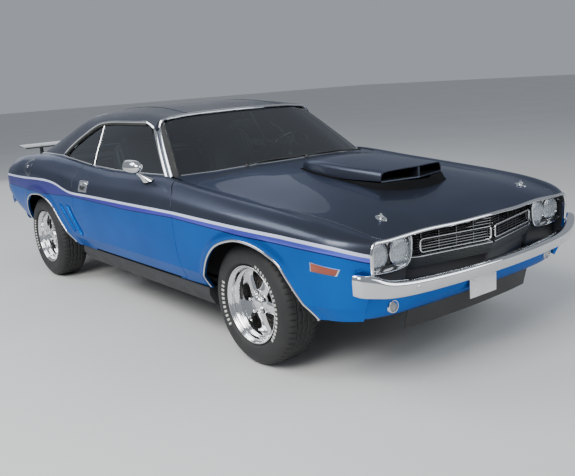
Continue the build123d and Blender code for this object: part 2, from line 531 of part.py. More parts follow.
pipe = pipe + Solid.make_sphere(26, Plane(origin=(1000, 262, 196)), -90, 90, 360) + Solid.make_sphere(26, Plane(origin=(-820, 262, 196)), -90, 90, 360) + Solid.make_sphere(26, Plane(origin=(-1000, 420, 200)), -90, 90, 360)
save("exhaust", [pipe, mirror_y(pipe)])
save("fuel_tank", box(-2200, -1560, -335, 335, 262, 418))

# ------------------------------------------------------------------- wheels
RIM = [  # columns: radius, distance in from the outer lip plane
    (208, 0), (208, 12), (190, 16), (190, 34), (176, 44), (176, 140), (190, 168), (190, 186), (208, 190), (208, 200),
    (203, 200), (203, 193), (184, 189), (184, 170), (169, 144), (169, 40), (183, 30), (184, 12), (203, 8), (203, 0),
]
TYRE_HALF_OVER = 12.0


def ring_y(pts, yc_sign=1):
    """Profile of radius and depth, turned about the wheel's own axis."""
    f = poly([(r, -d, 0) for r, d in pts])
    return Solid.revolve(f, 360, Axis((0, 0, 0), (0, 1, 0)))


def make_wheel(width_over):
    rim = ring_y(RIM)
    hub = Solid.make_cylinder(62, 66, Plane(origin=(0, -114, 0), z_dir=(0, 1, 0)))
    for k in range(5):
        a = math.radians(72 * k + 90)
        spoke = ruled([
            [(50, -62, -34), (50, -62, 34), (50, -100, 34), (50, -100, -34)],
            [(172, -44, -22), (172, -44, 22), (172, -78, 22), (172, -78, -22)],
        ])
        hub = hub + spoke.rotate(Axis((0, 0, 0), (0, 1, 0)), 72 * k + 90)
    drum = Solid.make_cylinder(140, 40, Plane(origin=(0, -142, 0), z_dir=(0, 1, 0)))
    rim = rim + hub + drum
    rim = rim - Solid.make_cylinder(SPINDLE_R + 0.1, 94, Plane(origin=(0, -150, 0), z_dir=(0, 1, 0)))
    w = width_over
    tyre = ring_y([
        (191, 17), (209, 15), (222, -w * 0.6), (250, -w), (285, -w * 0.7), (312, 10), (322, 24), (325, 50),
        (325, 150), (322, 176), (312, 190), (285, 200 + w * 0.7), (250, 200 + w), (222, 200 + w * 0.6), (209, 185), (191, 183),
        (191, 171), (205, 168), (240, 178), (296, 176), (312, 150), (312, 50), (296, 24), (240, 22), (205, 32), (191, 29),
    ])
    return rim, tyre


WHEELS = [  # columns: name, x, outer lip plane y, side, tyre bulge past the lip
    ("front_left", FRONT_AXLE_X, FRONT_LIP_Y, 1, 12), ("front_right", FRONT_AXLE_X, FRONT_LIP_Y, -1, 12),
    ("rear_left", REAR_AXLE_X, REAR_LIP_Y, 1, 14), ("rear_right", REAR_AXLE_X, REAR_LIP_Y, -1, 14),
]
for name, x, y, side, bulge in WHEELS:
    rim, tyre = make_wheel(bulge)
    for kind, s in (("rim", rim), ("tyre", tyre)):
        s = s.moved(Location((x, y, HUB_Z)))
        if side < 0:
            s = mirror_y(s)
        save(kind + "_" + name, s)
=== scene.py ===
import math

import bpy
import numpy as np
from mathutils import Matrix, Vector


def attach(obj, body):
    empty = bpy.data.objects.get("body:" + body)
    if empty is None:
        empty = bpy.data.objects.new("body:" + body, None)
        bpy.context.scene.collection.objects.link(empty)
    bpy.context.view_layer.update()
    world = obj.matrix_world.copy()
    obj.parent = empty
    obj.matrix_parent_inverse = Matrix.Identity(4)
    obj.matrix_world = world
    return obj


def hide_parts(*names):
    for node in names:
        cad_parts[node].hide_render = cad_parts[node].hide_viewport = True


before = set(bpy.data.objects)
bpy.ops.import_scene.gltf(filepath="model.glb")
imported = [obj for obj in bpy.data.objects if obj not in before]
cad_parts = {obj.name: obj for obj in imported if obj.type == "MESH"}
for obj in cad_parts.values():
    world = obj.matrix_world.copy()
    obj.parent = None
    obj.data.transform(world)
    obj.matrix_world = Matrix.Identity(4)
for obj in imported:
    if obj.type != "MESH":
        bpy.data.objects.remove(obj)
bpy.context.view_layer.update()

# Two-door hardtop muscle car of the early 1970s. Tables are in millimetres,
# +X forward, +Y to the car's left, +Z up; meshes are written in metres.

rng = np.random.default_rng(7)

# =====================================================================
# Tables of the body
# =====================================================================
# x, then (y, z) of: lower edge, lower crease, mid side, character line,
# shoulder, top edge, hood/glass/deck line, hood crease, and centre z
SECTIONS = [
    (2400, (560, 400), (600, 450), (625, 570), (630, 680), (618, 706), (600, 718), (580, 720), (380, 718), 742),
    (2300, (690, 385), (726, 445), (745, 570), (752, 690), (738, 724), (712, 738), (684, 740), (415, 772), 780),
    (2240, (765, 378), (802, 443), (820, 572), (828, 697), (806, 742), (752, 758), (696, 754), (422, 792), 801),
    (2150, (812, 370), (854, 440), (872, 575), (879, 703), (860, 757), (792, 781), (705, 778), (430, 818), 824),
    (2000, (830, 360), (880, 438), (898, 580), (906, 714), (886, 775), (812, 808), (722, 806), (430, 843), 850),
    (1750, (835, 355), (892, 436), (915, 585), (924, 725), (903, 792), (830, 832), (742, 830), (430, 872), 880),
    (1500, (840, 352), (897, 436), (922, 590), (933, 736), (912, 806), (838, 852), (752, 850), (430, 894), 902),
    (1250, (842, 350), (900, 436), (926, 595), (937, 745), (916, 820), (842, 872), (758, 870), (430, 912), 920),
    (1000, (845, 348), (902, 437), (928, 600), (939, 752), (918, 833), (840, 893), (764, 892), (430, 929), 935),
    (880, (846, 346), (903, 437), (929, 602), (940, 755), (918, 842), (838, 906), (766, 906), (430, 935), 940),
    (650, (847, 345), (903, 437), (930, 604), (940, 757), (914, 852), (828, 928), (766, 930), (430, 934), 936),
    (300, (848, 344), (904, 438), (932, 606), (942, 758), (914, 850), (822, 921), (762, 924), (430, 926), 926),
    (-100, (850, 343), (906, 438), (936, 608), (947, 758), (918, 848), (822, 918), (762, 922), (430, 924), 924),
    (-450, (850, 342), (908, 438), (942, 610), (957, 764), (928, 858), (832, 932), (764, 938), (430, 940), 940),
    (-700, (850, 342), (908, 438), (946, 615), (963, 800), (942, 885), (845, 955), (765, 960), (430, 962), 962),
    (-1000, (848, 342), (908, 438), (948, 630), (966, 826), (952, 905), (858, 975), (764, 980), (430, 982), 982),
    (-1300, (838, 345), (897, 440), (943, 640), (966, 834), (952, 912), (862, 975), (750, 980), (430, 982), 982),
    (-1600, (812, 352), (868, 448), (932, 635), (960, 820), (943, 898), (855, 962), (712, 968), (430, 972), 974),
    (-1900, (770, 370), (832, 458), (918, 622), (938, 796), (905, 868), (820, 930), (694, 942), (430, 950), 953),
    (-2150, (712, 392), (772, 466), (852, 612), (862, 764), (832, 840), (760, 896), (672, 910), (430, 918), 921),
    (-2400, (655, 412), (705, 474), (775, 600), (786, 728), (760, 806), (712, 862), (652, 880), (430, 888), 891),
]
# x, then (y, z) of: sill, mid, roof rail, roof quarter point, and centre z
GREENHOUSE = [
    (900, (790, 900), (700, 1070), (598, 1226), (430, 1248), 1254),
    (300, (786, 900), (700, 1080), (602, 1240), (430, 1262), 1268),
    (0, (786, 900), (702, 1085), (608, 1258), (460, 1296), 1308),
    (-300, (790, 900), (706, 1087), (610, 1260), (460, 1306), 1320),
    (-600, (795, 905), (712, 1082), (606, 1250), (455, 1296), 1312),
    (-900, (795, 920), (716, 1076), (600, 1228), (445, 1268), 1282),
    (-1250, (788, 930), (716, 1036), (600, 1130), (440, 1164), 1176),
    (-1700, (706, 940), (690, 956), (636, 968), (440, 984), 990),
]
DOOR = [(772, 1000), (800, 912), (869, 865), (906, 803), (913, 720), (907, 588), (902, 489), (910, 438), (880, 370), (870, 356),
        (-405, 356), (-412, 448), (-455, 500), (-476, 560), (-486, 640), (-468, 720), (-452, 783), (-470, 860), (-486, 1000)]
FRONT_ARCH = [(1150, 290), (1150, 400), (1194, 486), (1253, 560), (1342, 628), (1478, 674), (1565, 684), (1683, 672),
              (1773, 645), (1846, 607), (1893, 547), (1938, 487), (1982, 432), (2015, 370), (2025, 290)]
REAR_ARCH = [(-1665, 280), (-1650, 400), (-1612, 480), (-1540, 560), (-1450, 630), (-1340, 674), (-1228, 690), (-1094, 694),
             (-979, 667), (-884, 615), (-842, 550), (-800, 485), (-753, 420), (-724, 372), (-700, 280)]
HOOD_LINE = [(930, 765), (1250, 758), (1500, 752), (1750, 742), (2000, 722), (2150, 705), (2250, 694), (2292, 686)]
NOSE = [(2292, 683), (2330, 350), (2372, 0), (2330, -350), (2292, -683)]
DECK_LINE = [(-1680, 672), (-1900, 668), (-2150, 650), (-2325, 634)]
WINDOW_SIDE = [(790, 880), (700, 955), (268, 1216), (160, 1222), (-490, 1220), (-562, 1204), (-704, 1152), (-866, 1075), (-992, 990), (-1012, 880)]
TAIL_X = -2345.0
HUB_Z = 325.0
FRONT_AXLE_X = 1500.0
REAR_AXLE_X = -1294.0
# the light line's upper edge along the side, and the dark band under it
STRIPE_TOP = [(-2400, 762), (-2150, 796), (-1849, 814), (-1382, 820), (-1150, 828), (-960, 831), (-840, 827), (-731, 815), (-640, 794),
              (-574, 779), (-500, 770), (-445, 767), (-206, 768), (345, 767), (916, 770), (1488, 758), (1866, 752), (2048, 743), (2161, 732), (2233, 714), (2293, 690), (2320, 680)]
STRIPE_LOW = [(-2400, 690), (-1910, 722), (-1462, 716), (-1030, 711), (-763, 722), (-505, 732), (-317, 729), (333, 718), (913, 731),
              (1488, 714), (1872, 707), (2047, 700), (2166, 690), (2236, 673), (2291, 649), (2320, 640)]


# =====================================================================
# Numeric helpers
# =====================================================================
def smoothstep(e0, e1, v):
    t = np.clip((v - e0) / (e1 - e0), 0, 1)
    return t * t * (3 - 2 * t)


def curve_through(pts, step=6.0, closed=False, corners=()):
    """Dense smooth polyline through the points; corners stay sharp."""
    p = np.array(pts, float)
    n = len(p)
    out = []
    segs = n if closed else n - 1
    for i in range(segs):
        a, b = p[i], p[(i + 1) % n]
        pa = p[i - 1] if (closed or i > 0) else 2 * a - b
        pb = p[(i + 2) % n] if (closed or i + 2 < n) else 2 * b - a
        if i in corners:
            pa = 2 * a - b
        if (i + 1) % n in corners:
            pb = 2 * b - a
        d1 = max(np.linalg.norm(b - a), 1e-6) ** 0.5
        d0 = max(np.linalg.norm(a - pa), 1e-6) ** 0.5
        d2 = max(np.linalg.norm(pb - b), 1e-6) ** 0.5
        m1 = d1 * ((a - pa) / d0 - (b - pa) / (d0 + d1) + (b - a) / d1)
        m2 = d1 * ((b - a) / d1 - (pb - a) / (d1 + d2) + (pb - b) / d2)
        k = max(2, int(np.linalg.norm(b - a) / step))
        for u in np.arange(k) / k:
            h = (2 * u**3 - 3 * u**2 + 1, u**3 - 2 * u**2 + u, -2 * u**3 + 3 * u**2, u**3 - u**2)
            out.append(h[0] * a + h[1] * m1 + h[2] * b + h[3] * m2)
    if not closed:
        out.append(p[-1])
    return np.array(out)


def sdf(q, poly):
    """Signed distance of points q (n, 2) to a closed polygon, negative inside."""
    a = np.asarray(poly, float)
    b = np.roll(a, -1, axis=0)
    out = np.empty(len(q))
    for s in range(0, len(q), 20000):
        p = q[s:s + 20000]
        d = b - a
        ll = (d * d).sum(1) + 1e-12
        w = p[:, None, :] - a[None]
        t = np.clip((w * d[None]).sum(2) / ll[None], 0, 1)
        r = w - t[..., None] * d[None]
        dist = np.sqrt((r * r).sum(2)).min(1)
        x, y = p[:, 0:1], p[:, 1:2]
        cond = (a[None, :, 1] > y) != (b[None, :, 1] > y)
        dy = np.where(np.abs(d[:, 1]) < 1e-12, 1e-12, d[:, 1])
        xi = a[None, :, 0] + (y - a[None, :, 1]) * d[None, :, 0] / dy[None]
        inside = (cond & (x < xi)).sum(1) % 2 == 1
        out[s:s + 20000] = np.where(inside, -dist, dist)
    return out


def line_dist(q, line):
    """Distance of points q (n, 2) to an open polyline."""
    a, b = np.asarray(line[:-1], float), np.asarray(line[1:], float)
    out = np.empty(len(q))
    for s in range(0, len(q), 20000):
        p = q[s:s + 20000]
        d = b - a
        ll = (d * d).sum(1) + 1e-12
        w = p[:, None, :] - a[None]
        t = np.clip((w * d[None]).sum(2) / ll[None], 0, 1)
        r = w - t[..., None] * d[None]
        out[s:s + 20000] = np.sqrt((r * r).sum(2)).min(1)
    return out


XF = np.arange(-2700.0, 2701.0, 5.0)


def smooth_table(rows, sigma):
    """Columns of a table (first column x) on the fine XF grid, rounded along x."""
    r = np.array(sorted(rows), float)
    xs = r[:, 0]
    out = []
    for c in r[:, 1:].T:
        v = np.interp(XF, xs, c)
        lo, hi = XF < xs[0], XF > xs[-1]
        v[lo] = c[0] + (XF[lo] - xs[0]) * (c[1] - c[0]) / (xs[1] - xs[0])
        v[hi] = c[-1] + (XF[hi] - xs[-1]) * (c[-1] - c[-2]) / (xs[-1] - xs[-2])
        k = np.arange(-int(3 * sigma / 5), int(3 * sigma / 5) + 1) * 5.0
        g = np.exp(-0.5 * (k / sigma) ** 2)
        g /= g.sum()
        m = len(k) // 2
        pad = np.concatenate([2 * v[0] - v[m:0:-1], v, 2 * v[-1] - v[-2:-m - 2:-1]])
        out.append(np.convolve(pad, g, "valid"))
    return np.array(out).T


def flat_rows(table, n):
    return [[r[0]] + [c for p in r[1:1 + n] for c in p] + [r[1 + n]] for r in table]


BODY_F = smooth_table(flat_rows(SECTIONS, 8), 55.0)
GH_F = smooth_table(flat_rows(GREENHOUSE, 4), 70.0)


def controls(fine, n, xs):
    """(len(xs), n + 1, 2) control points at the given x."""
    v = np.stack([np.interp(xs, XF, fine[:, k]) for k in range(fine.shape[1])], 1)
    c = np.zeros((len(xs), n + 1, 2))
    c[:, :n, 0] = v[:, 0:2 * n:2]
    c[:, :n, 1] = v[:, 1:2 * n:2]
    c[:, n, 1] = v[:, 2 * n]
    return c


def section_curve(c, ts, corners):
    """Smooth curves through control points c (nx, n, 2) at parameters ts."""
    nx, n, _ = c.shape
    seg = np.linalg.norm(np.diff(c, axis=1), axis=2) ** 0.5 + 1e-9
    m_in = np.zeros_like(c)
    m_out = np.zeros_like(c)
    d = np.diff(c, axis=1)
    for k in range(1, n - 1):
        a, b = seg[:, k - 1:k], seg[:, k:k + 1]
        m = d[:, k - 1] / a - (c[:, k + 1] - c[:, k - 1]) / (a + b) + d[:, k] / b
        m_in[:, k] = m_out[:, k] = m
    for k in corners:
        m_in[:, k] = d[:, k - 1] / seg[:, k - 1:k]
        m_out[:, k] = d[:, k] / seg[:, k:k + 1]
    for k in corners:
        if k - 1 not in corners and k - 1 > 0:
            m_in[:, k] = 1.5 * d[:, k - 1] / seg[:, k - 1:k] - 0.5 * m_out[:, k - 1]
        if k + 1 not in corners and k + 1 < n - 1:
            m_out[:, k] = 1.5 * d[:, k] / seg[:, k:k + 1] - 0.5 * m_in[:, k + 1]
    m_out[:, 0] = d[:, 0] / seg[:, 0:1]
    # symmetric at the centre line
    m_in[:, n - 1, 0] = d[:, n - 2, 0] / seg[:, n - 2]
    m_in[:, n - 1, 1] = 0
    k = np.clip(np.floor(ts).astype(int), 0, n - 2)
    u = ts - k
    h00 = 2 * u**3 - 3 * u**2 + 1
    h10 = u**3 - 2 * u**2 + u
    h01 = -2 * u**3 + 3 * u**2
    h11 = u**3 - u**2
    s = seg[:, k][..., None]
    return (h00[None, :, None] * c[:, k] + h10[None, :, None] * s * m_out[:, k]
            + h01[None, :, None] * c[:, k + 1] + h11[None, :, None] * s * m_in[:, k + 1])


def grid_normals(p):
    """Unit normals of a grid of points (nx, nt, 3)."""
    a = np.gradient(p, axis=0)
    b = np.gradient(p, axis=1)
    n = np.cross(a, b)
    return n / (np.linalg.norm(n, axis=2, keepdims=True) + 1e-12)


def grid_faces(nx, nt, flip=False):
    i, j = np.meshgrid(np.arange(nx - 1), np.arange(nt - 1), indexing="ij")
    a = (i * nt + j).ravel()
    q = np.stack([a, a + nt, a + nt + 1, a + 1], 1)
    if flip:
        q = q[:, ::-1]
    return np.concatenate([q[:, [0, 1, 2]], q[:, [0, 2, 3]]])


class Patch:
    """Triangles with their own normals and per-vertex values, that can be cut."""

    def __init__(self, v, n, f):
        self.v, self.n, self.f = np.asarray(v, float), np.asarray(n, float), np.asarray(f, int)

    def copy(self):
        return Patch(self.v.copy(), self.n.copy(), self.f.copy())

    def clip(self, fn):
        """Keeps the side where fn(v) > 0, cutting the triangles on the line."""
        val = fn(self.v)
        val = np.where(np.abs(val) < 1e-7, 1e-7, val)
        pos = val > 0
        cnt = pos[self.f].sum(1)
        keep = self.f[cnt == 3]
        new_v, new_n = [self.v], [self.n]
        base = len(self.v)
        for want in (1, 2):
            t = self.f[cnt == want]
            if not len(t):
                continue
            p = pos[t]
            lone = np.argmax(p if want == 1 else ~p, axis=1)
            r = np.arange(len(t))
            a, b, c = t[r, lone], t[r, (lone + 1) % 3], t[r, (lone + 2) % 3]
            wb = val[a] / (val[a] - val[b])
            wc = val[a] / (val[a] - val[c])
            vb = self.v[a] + (self.v[b] - self.v[a]) * wb[:, None]
            vc = self.v[a] + (self.v[c] - self.v[a]) * wc[:, None]
            nb = self.n[a] + (self.n[b] - self.n[a]) * wb[:, None]
            nc = self.n[a] + (self.n[c] - self.n[a]) * wc[:, None]
            ib = base + np.arange(len(t))
            ic = ib + len(t)
            new_v += [vb, vc]
            new_n += [nb, nc]
            base += 2 * len(t)
            if want == 1:
                keep = np.concatenate([keep, np.stack([a, ib, ic], 1)])
            else:
                keep = np.concatenate([keep, np.stack([b, c, ic], 1), np.stack([b, ic, ib], 1)])
        v, n = np.concatenate(new_v), np.concatenate(new_n)
        self.v, self.n, self.f = v, n, keep
        self.weld()
        return self

    def weld(self, tol=1e-3):
        key = np.round(self.v / tol).astype(np.int64)
        _, first, inv = np.unique(key, axis=0, return_index=True, return_inverse=True)
        inv = inv.reshape(-1)
        self.v, self.n = self.v[first], self.n[first]
        f = inv[self.f]
        ok = (f[:, 0] != f[:, 1]) & (f[:, 1] != f[:, 2]) & (f[:, 0] != f[:, 2])
        f = f[ok]
        used, inv = np.unique(f, return_inverse=True)
        self.v, self.n, self.f = self.v[used], self.n[used], inv.reshape(-1, 3)
        self.n /= np.linalg.norm(self.n, axis=1, keepdims=True) + 1e-12
        return self

    def boundary(self):
        e = np.concatenate([self.f[:, [0, 1]], self.f[:, [1, 2]], self.f[:, [2, 0]]])
        s = np.sort(e, axis=1)
        key = s[:, 0] * (len(self.v) + 1) + s[:, 1]
        _, idx, cnt = np.unique(key, return_index=True, return_counts=True)
        return e[idx[cnt == 1]]

    def fold(self, depth=14.0, r=1.6, where=None):
        """Rolls every open edge over by radius r and turns it in by depth (mm)."""
        e = self.boundary()
        if where is not None:
            mid = (self.v[e[:, 0]] + self.v[e[:, 1]]) / 2
            e = e[where(mid)]
        if not len(e):
            return self
        d = self.v[e[:, 1]] - self.v[e[:, 0]]
        ln = np.linalg.norm(d, axis=1, keepdims=True)
        ok = ln[:, 0] > 1e-6
        e, d, ln = e[ok], d[ok], ln[ok]
        n = (self.n[e[:, 0]] + self.n[e[:, 1]]) / 2
        out = np.cross(d / ln, n)
        acc = np.zeros_like(self.v)
        np.add.at(acc, e[:, 0], out * ln)
        np.add.at(acc, e[:, 1], out * ln)
        ids = np.unique(e)
        b = acc[ids]
        b /= np.linalg.norm(b, axis=1, keepdims=True) + 1e-12
        nn = self.n[ids]
        p = self.v[ids]
        rings = [
            (p + b * (0.7 * r) - nn * (0.3 * r), nn + b),
            (p + b * r - nn * r, b),
            (p + b * r - nn * depth, b),
        ]
        remap = np.full(len(self.v), -1)
        base = len(self.v)
        prev = ids
        remap_prev = np.full(len(self.v), -1)
        remap_prev[ids] = ids
        vs, ns, fs = [self.v], [self.n], [self.f]
        cur_start = base
        prev_idx = remap_prev
        for q, m in rings:
            m = m / (np.linalg.norm(m, axis=1, keepdims=True) + 1e-12)
            now = np.full(len(self.v), -1)
            now[ids] = cur_start + np.arange(len(ids))
            a0, a1 = prev_idx[e[:, 0]], prev_idx[e[:, 1]]
            b0, b1 = now[e[:, 0]], now[e[:, 1]]
            fs += [np.stack([a1, a0, b0], 1), np.stack([a1, b0, b1], 1)]
            vs.append(q)
            ns.append(m)
            prev_idx = now
            cur_start += len(ids)
        self.v, self.n, self.f = np.concatenate(vs), np.concatenate(ns), np.concatenate(fs)
        return self

    def mirrored(self):
        k = np.array([1, -1, 1.0])
        return Patch(self.v * k, self.n * k, self.f[:, ::-1])

    def plus(self, other):
        return Patch(np.concatenate([self.v, other.v]), np.concatenate([self.n, other.n]),
                     np.concatenate([self.f, other.f + len(self.v)]))


def grid_patch(p, flip=False):
    n = grid_normals(p)
    if flip:
        n = -n
    nx, nt = p.shape[:2]
    return Patch(p.reshape(-1, 3), n.reshape(-1, 3), grid_faces(nx, nt, flip))


# =====================================================================
# Blender objects from arrays
# =====================================================================
def make_object(name, v, f, materials, body, face_mats=None, normals=None, smooth=True, values=None, slot=None, replaces=(), scale=0.001):
    v = np.asarray(v, float) * scale
    me = bpy.data.meshes.new(name)
    if isinstance(f, np.ndarray):
        k = f.shape[1]
        me.vertices.add(len(v))
        me.vertices.foreach_set("co", v.astype(np.float32).ravel())
        me.loops.add(f.size)
        me.loops.foreach_set("vertex_index", f.astype(np.int32).ravel())
        me.polygons.add(len(f))
        me.polygons.foreach_set("loop_start", (np.arange(len(f)) * k).astype(np.int32))
        me.polygons.foreach_set("loop_total", np.full(len(f), k, np.int32))
        me.update(calc_edges=True)
    else:
        me.from_pydata([tuple(p) for p in v], [], f)
        me.update()
    if not isinstance(materials, (list, tuple)):
        materials = [materials]
    for m in materials:
        me.materials.append(m)
    if face_mats is not None:
        me.polygons.foreach_set("material_index", np.asarray(face_mats, np.int32))
    me.polygons.foreach_set("use_smooth", np.full(len(me.polygons), bool(smooth)))
    if values:
        for key, arr in values.items():
            at = me.attributes.new(key, "FLOAT", "POINT")
            at.data.foreach_set("value", np.asarray(arr, np.float32))
    me.validate()
    if normals is not None and len(normals) == len(me.vertices):
        me.normals_split_custom_set_from_vertices(np.asarray(normals, np.float32).tolist())
    ob = bpy.data.objects.new(name, me)
    bpy.context.scene.collection.objects.link(ob)
    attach(ob, body)
    if replaces:
        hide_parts(*replaces)
    return ob


def patch_object(name, patch, materials, body, **kw):
    return make_object(name, patch.v, patch.f, materials, body, normals=patch.n, **kw)


class Mesh:
    """Collects simple shapes into one mesh, with a material index per face."""

    def __init__(self):
        self.v, self.f, self.m = [], [], []

    def add(self, v, f, m=0):
        base = len(self.v)
        self.v += [tuple(p) for p in v]
        self.f += [tuple(base + i for i in q) for q in f]
        self.m += [m] * len(f)
        return self

    def grid(self, p, m=0, close_u=False, close_v=False, flip=False):
        """p (nu, nv, 3) as quads."""
        p = np.asarray(p, float)
        nu, nv = p.shape[:2]
        f = []
        for i in range(nu if close_u else nu - 1):
            for j in range(nv if close_v else nv - 1):
                q = (i * nv + j, ((i + 1) % nu) * nv + j, ((i + 1) % nu) * nv + (j + 1) % nv, i * nv + (j + 1) % nv)
                f.append(q[::-1] if flip else q)
        return self.add(p.reshape(-1, 3), f, m)

    def lathe(self, prof, centre, axis="y", n=64, m=0, side=1, flip=False):
        """Profile of (radius, along) turned about an axis through centre."""
        a = np.arange(n) * 2 * math.pi / n
        p = np.zeros((n, len(prof), 3))
        for j, (r, h) in enumerate(prof):
            c, s = r * np.cos(a), r * np.sin(a)
            if axis == "y":
                p[:, j] = np.stack([c, np.full(n, h * side), s], 1)
            elif axis == "x":
                p[:, j] = np.stack([np.full(n, h * side), c, s], 1)
            else:
                p[:, j] = np.stack([c, s, np.full(n, h * side)], 1)
        p += np.asarray(centre, float)
        return self.grid(p, m, close_u=True, flip=flip)

    def box(self, lo, hi, m=0, bevel=0.0):
        lo, hi = np.asarray(lo, float), np.asarray(hi, float)
        b = min(bevel, 0.45 * (hi - lo).min())
        if b <= 0:
            x0, y0, z0 = lo
            x1, y1, z1 = hi
            v = [(x0, y0, z0), (x1, y0, z0), (x1, y1, z0), (x0, y1, z0), (x0, y0, z1), (x1, y0, z1), (x1, y1, z1), (x0, y1, z1)]
            return self.add(v, [(0, 3, 2, 1), (4, 5, 6, 7), (0, 1, 5, 4), (1, 2, 6, 5), (2, 3, 7, 6), (3, 0, 4, 7)], m)
        rings = []
        for z, g in ((lo[2], b), (lo[2] + b * 0.3, b * 0.3), (lo[2] + b, 0), (hi[2] - b, 0), (hi[2] - b * 0.3, b * 0.3), (hi[2], b)):
            ring = []
            x0, y0, x1, y1 = lo[0] + g, lo[1] + g, hi[0] - g, hi[1] - g
            c = b * 0.6
            for (cx, cy, sx, sy) in ((x1, y1, 1, 1), (x0, y1, -1, 1), (x0, y0, -1, -1), (x1, y0, 1, -1)):
                p1, p2 = (cx, cy - sy * c, z), (cx - sx * c, cy, z)
                mid = (cx - sx * c * 0.3, cy - sy * c * 0.3, z)
                ring += [p1, mid, p2] if sx * sy > 0 else [p2, mid, p1]
            rings.append(ring)
        r = np.array(rings)
        self.grid(r, m, close_v=True)
        n = r.shape[1]
        self.add(r[0], [tuple(range(n))], m)
        return self.add(r[-1], [tuple(reversed(range(n)))], m)

    def tube(self, pts, radius, m=0, n=12, caps=True, flat=1.0, up=(0, 0, 1), closed=False):
        """Round (or flattened) tube along a polyline; radius may be a list."""
        p = np.asarray(pts, float)
        k = len(p)
        rad = np.full(k, radius, float) if np.isscalar(radius) else np.asarray(radius, float)
        t = np.gradient(p, axis=0) if not closed else np.roll(p, -1, 0) - np.roll(p, 1, 0)
        t /= np.linalg.norm(t, axis=1, keepdims=True) + 1e-12
        u = np.cross(np.asarray(up, float)[None], t)
        bad = np.linalg.norm(u, axis=1) < 1e-3
        if bad.any():
            u[bad] = np.cross(np.array([[0.3, 1, 0.2]]), t[bad])
        u /= np.linalg.norm(u, axis=1, keepdims=True) + 1e-12
        w = np.cross(t, u)
        a = np.arange(n) * 2 * math.pi / n
        g = p[:, None] + rad[:, None, None] * (np.cos(a)[None, :, None] * u[:, None] + flat * np.sin(a)[None, :, None] * w[:, None])
        self.grid(g, m, close_v=True, close_u=closed, flip=False)
        if caps and not closed:
            self.add(g[0], [tuple(range(n))], m)
            self.add(g[-1], [tuple(reversed(range(n)))], m)
        return self

    def ribbon(self, pts, nrm, profile, m=0, closed=False):
        """Profile of (across, up) swept along pts; nrm are the up vectors."""
        p, nr = np.asarray(pts, float), np.asarray(nrm, float)
        if nr.ndim == 1:
            nr = np.repeat(nr[None], len(p), 0)
        t = (np.roll(p, -1, 0) - np.roll(p, 1, 0)) if closed else np.gradient(p, axis=0)
        t /= np.linalg.norm(t, axis=1, keepdims=True) + 1e-12
        s = np.cross(t, nr)
        s /= np.linalg.norm(s, axis=1, keepdims=True) + 1e-12
        up = np.cross(s, t)
        g = np.stack([p + s * a + up * b for a, b in profile], 1)
        self.grid(g, m, close_u=closed, close_v=True)
        if not closed:
            n = g.shape[1]
            self.add(g[0], [tuple(reversed(range(n)))], m)
            self.add(g[-1], [tuple(range(n))], m)
        return self

    def mirror(self):
        base = len(self.v)
        self.v += [(x, -y, z) for x, y, z in self.v]
        self.f += [tuple(base + i for i in reversed(q)) for q in self.f]
        self.m += list(self.m)
        return self

    def mirrored(self):
        o = Mesh()
        o.v = [(x, -y, z) for x, y, z in self.v]
        o.f = [tuple(reversed(q)) for q in self.f]
        o.m = list(self.m)
        return o

    def obj(self, name, materials, body, sharp=35.0, **kw):
        ob = make_object(name, self.v, self.f, materials, body, face_mats=self.m, **kw)
        recalc(ob)
        ob.data.set_sharp_from_angle(angle=math.radians(sharp))
        return ob


def recalc(ob):
    import bmesh
    bm = bmesh.new()
    bm.from_mesh(ob.data)
    bmesh.ops.remove_doubles(bm, verts=bm.verts, dist=1e-6)
    bmesh.ops.recalc_face_normals(bm, faces=bm.faces)
    bm.to_mesh(ob.data)
    bm.free()


# =====================================================================
# Body surfaces
# =====================================================================
DOOR_C = curve_through(DOOR, 8.0, closed=True, corners=(0, 9, 10, 18))
FRONT_ARCH_C = curve_through(FRONT_ARCH, 8.0, closed=False)
REAR_ARCH_C = curve_through(REAR_ARCH, 8.0, closed=False)
HOOD_X = np.array([600.0] + [p[0] for p in HOOD_LINE] + [2340.0])
HOOD_Y = np.array([772.0] + [p[1] for p in HOOD_LINE] + [676.0])
XF_HOOD = np.arange(600.0, 2341.0, 5.0)
HOOD_YS = np.convolve(np.pad(np.interp(XF_HOOD, HOOD_X, HOOD_Y), 20, "reflect", reflect_type="odd"), np.ones(41) / 41, "valid")


def hood_line(x):
    return np.interp(x, XF_HOOD, HOOD_YS)


def xz(v):
    return v[:, [0, 2]]


def xy(v):
    return v[:, [0, 1]]


# slots pressed into the quarter ahead of the rear wheel: rear edge at the top
# and at the bottom (x, z), and width
LOUVRES = [((-742, 662), (-606, 470), 50.0), ((-622, 664), (-508, 452), 84.0)]


def louvre_depth(x, z):
    out = np.zeros_like(x)
    for (x0, z0), (x1, z1), w in LOUVRES:
        k = (z0 - z) / (z0 - z1)
        edge = x0 + (x1 - x0) * np.clip(k, -0.2, 1.2)
        u = (x - edge) * 0.83
        along = smoothstep(-0.015, 0.03, k) * (1 - smoothstep(0.97, 1.06, k))
        d = np.where(u > 0, 15.0 * np.clip(1 - u / w, 0, 1) ** 1.15, 15.0 * smoothstep(-7.0, 0.0, u))
        out += d * along
    return out


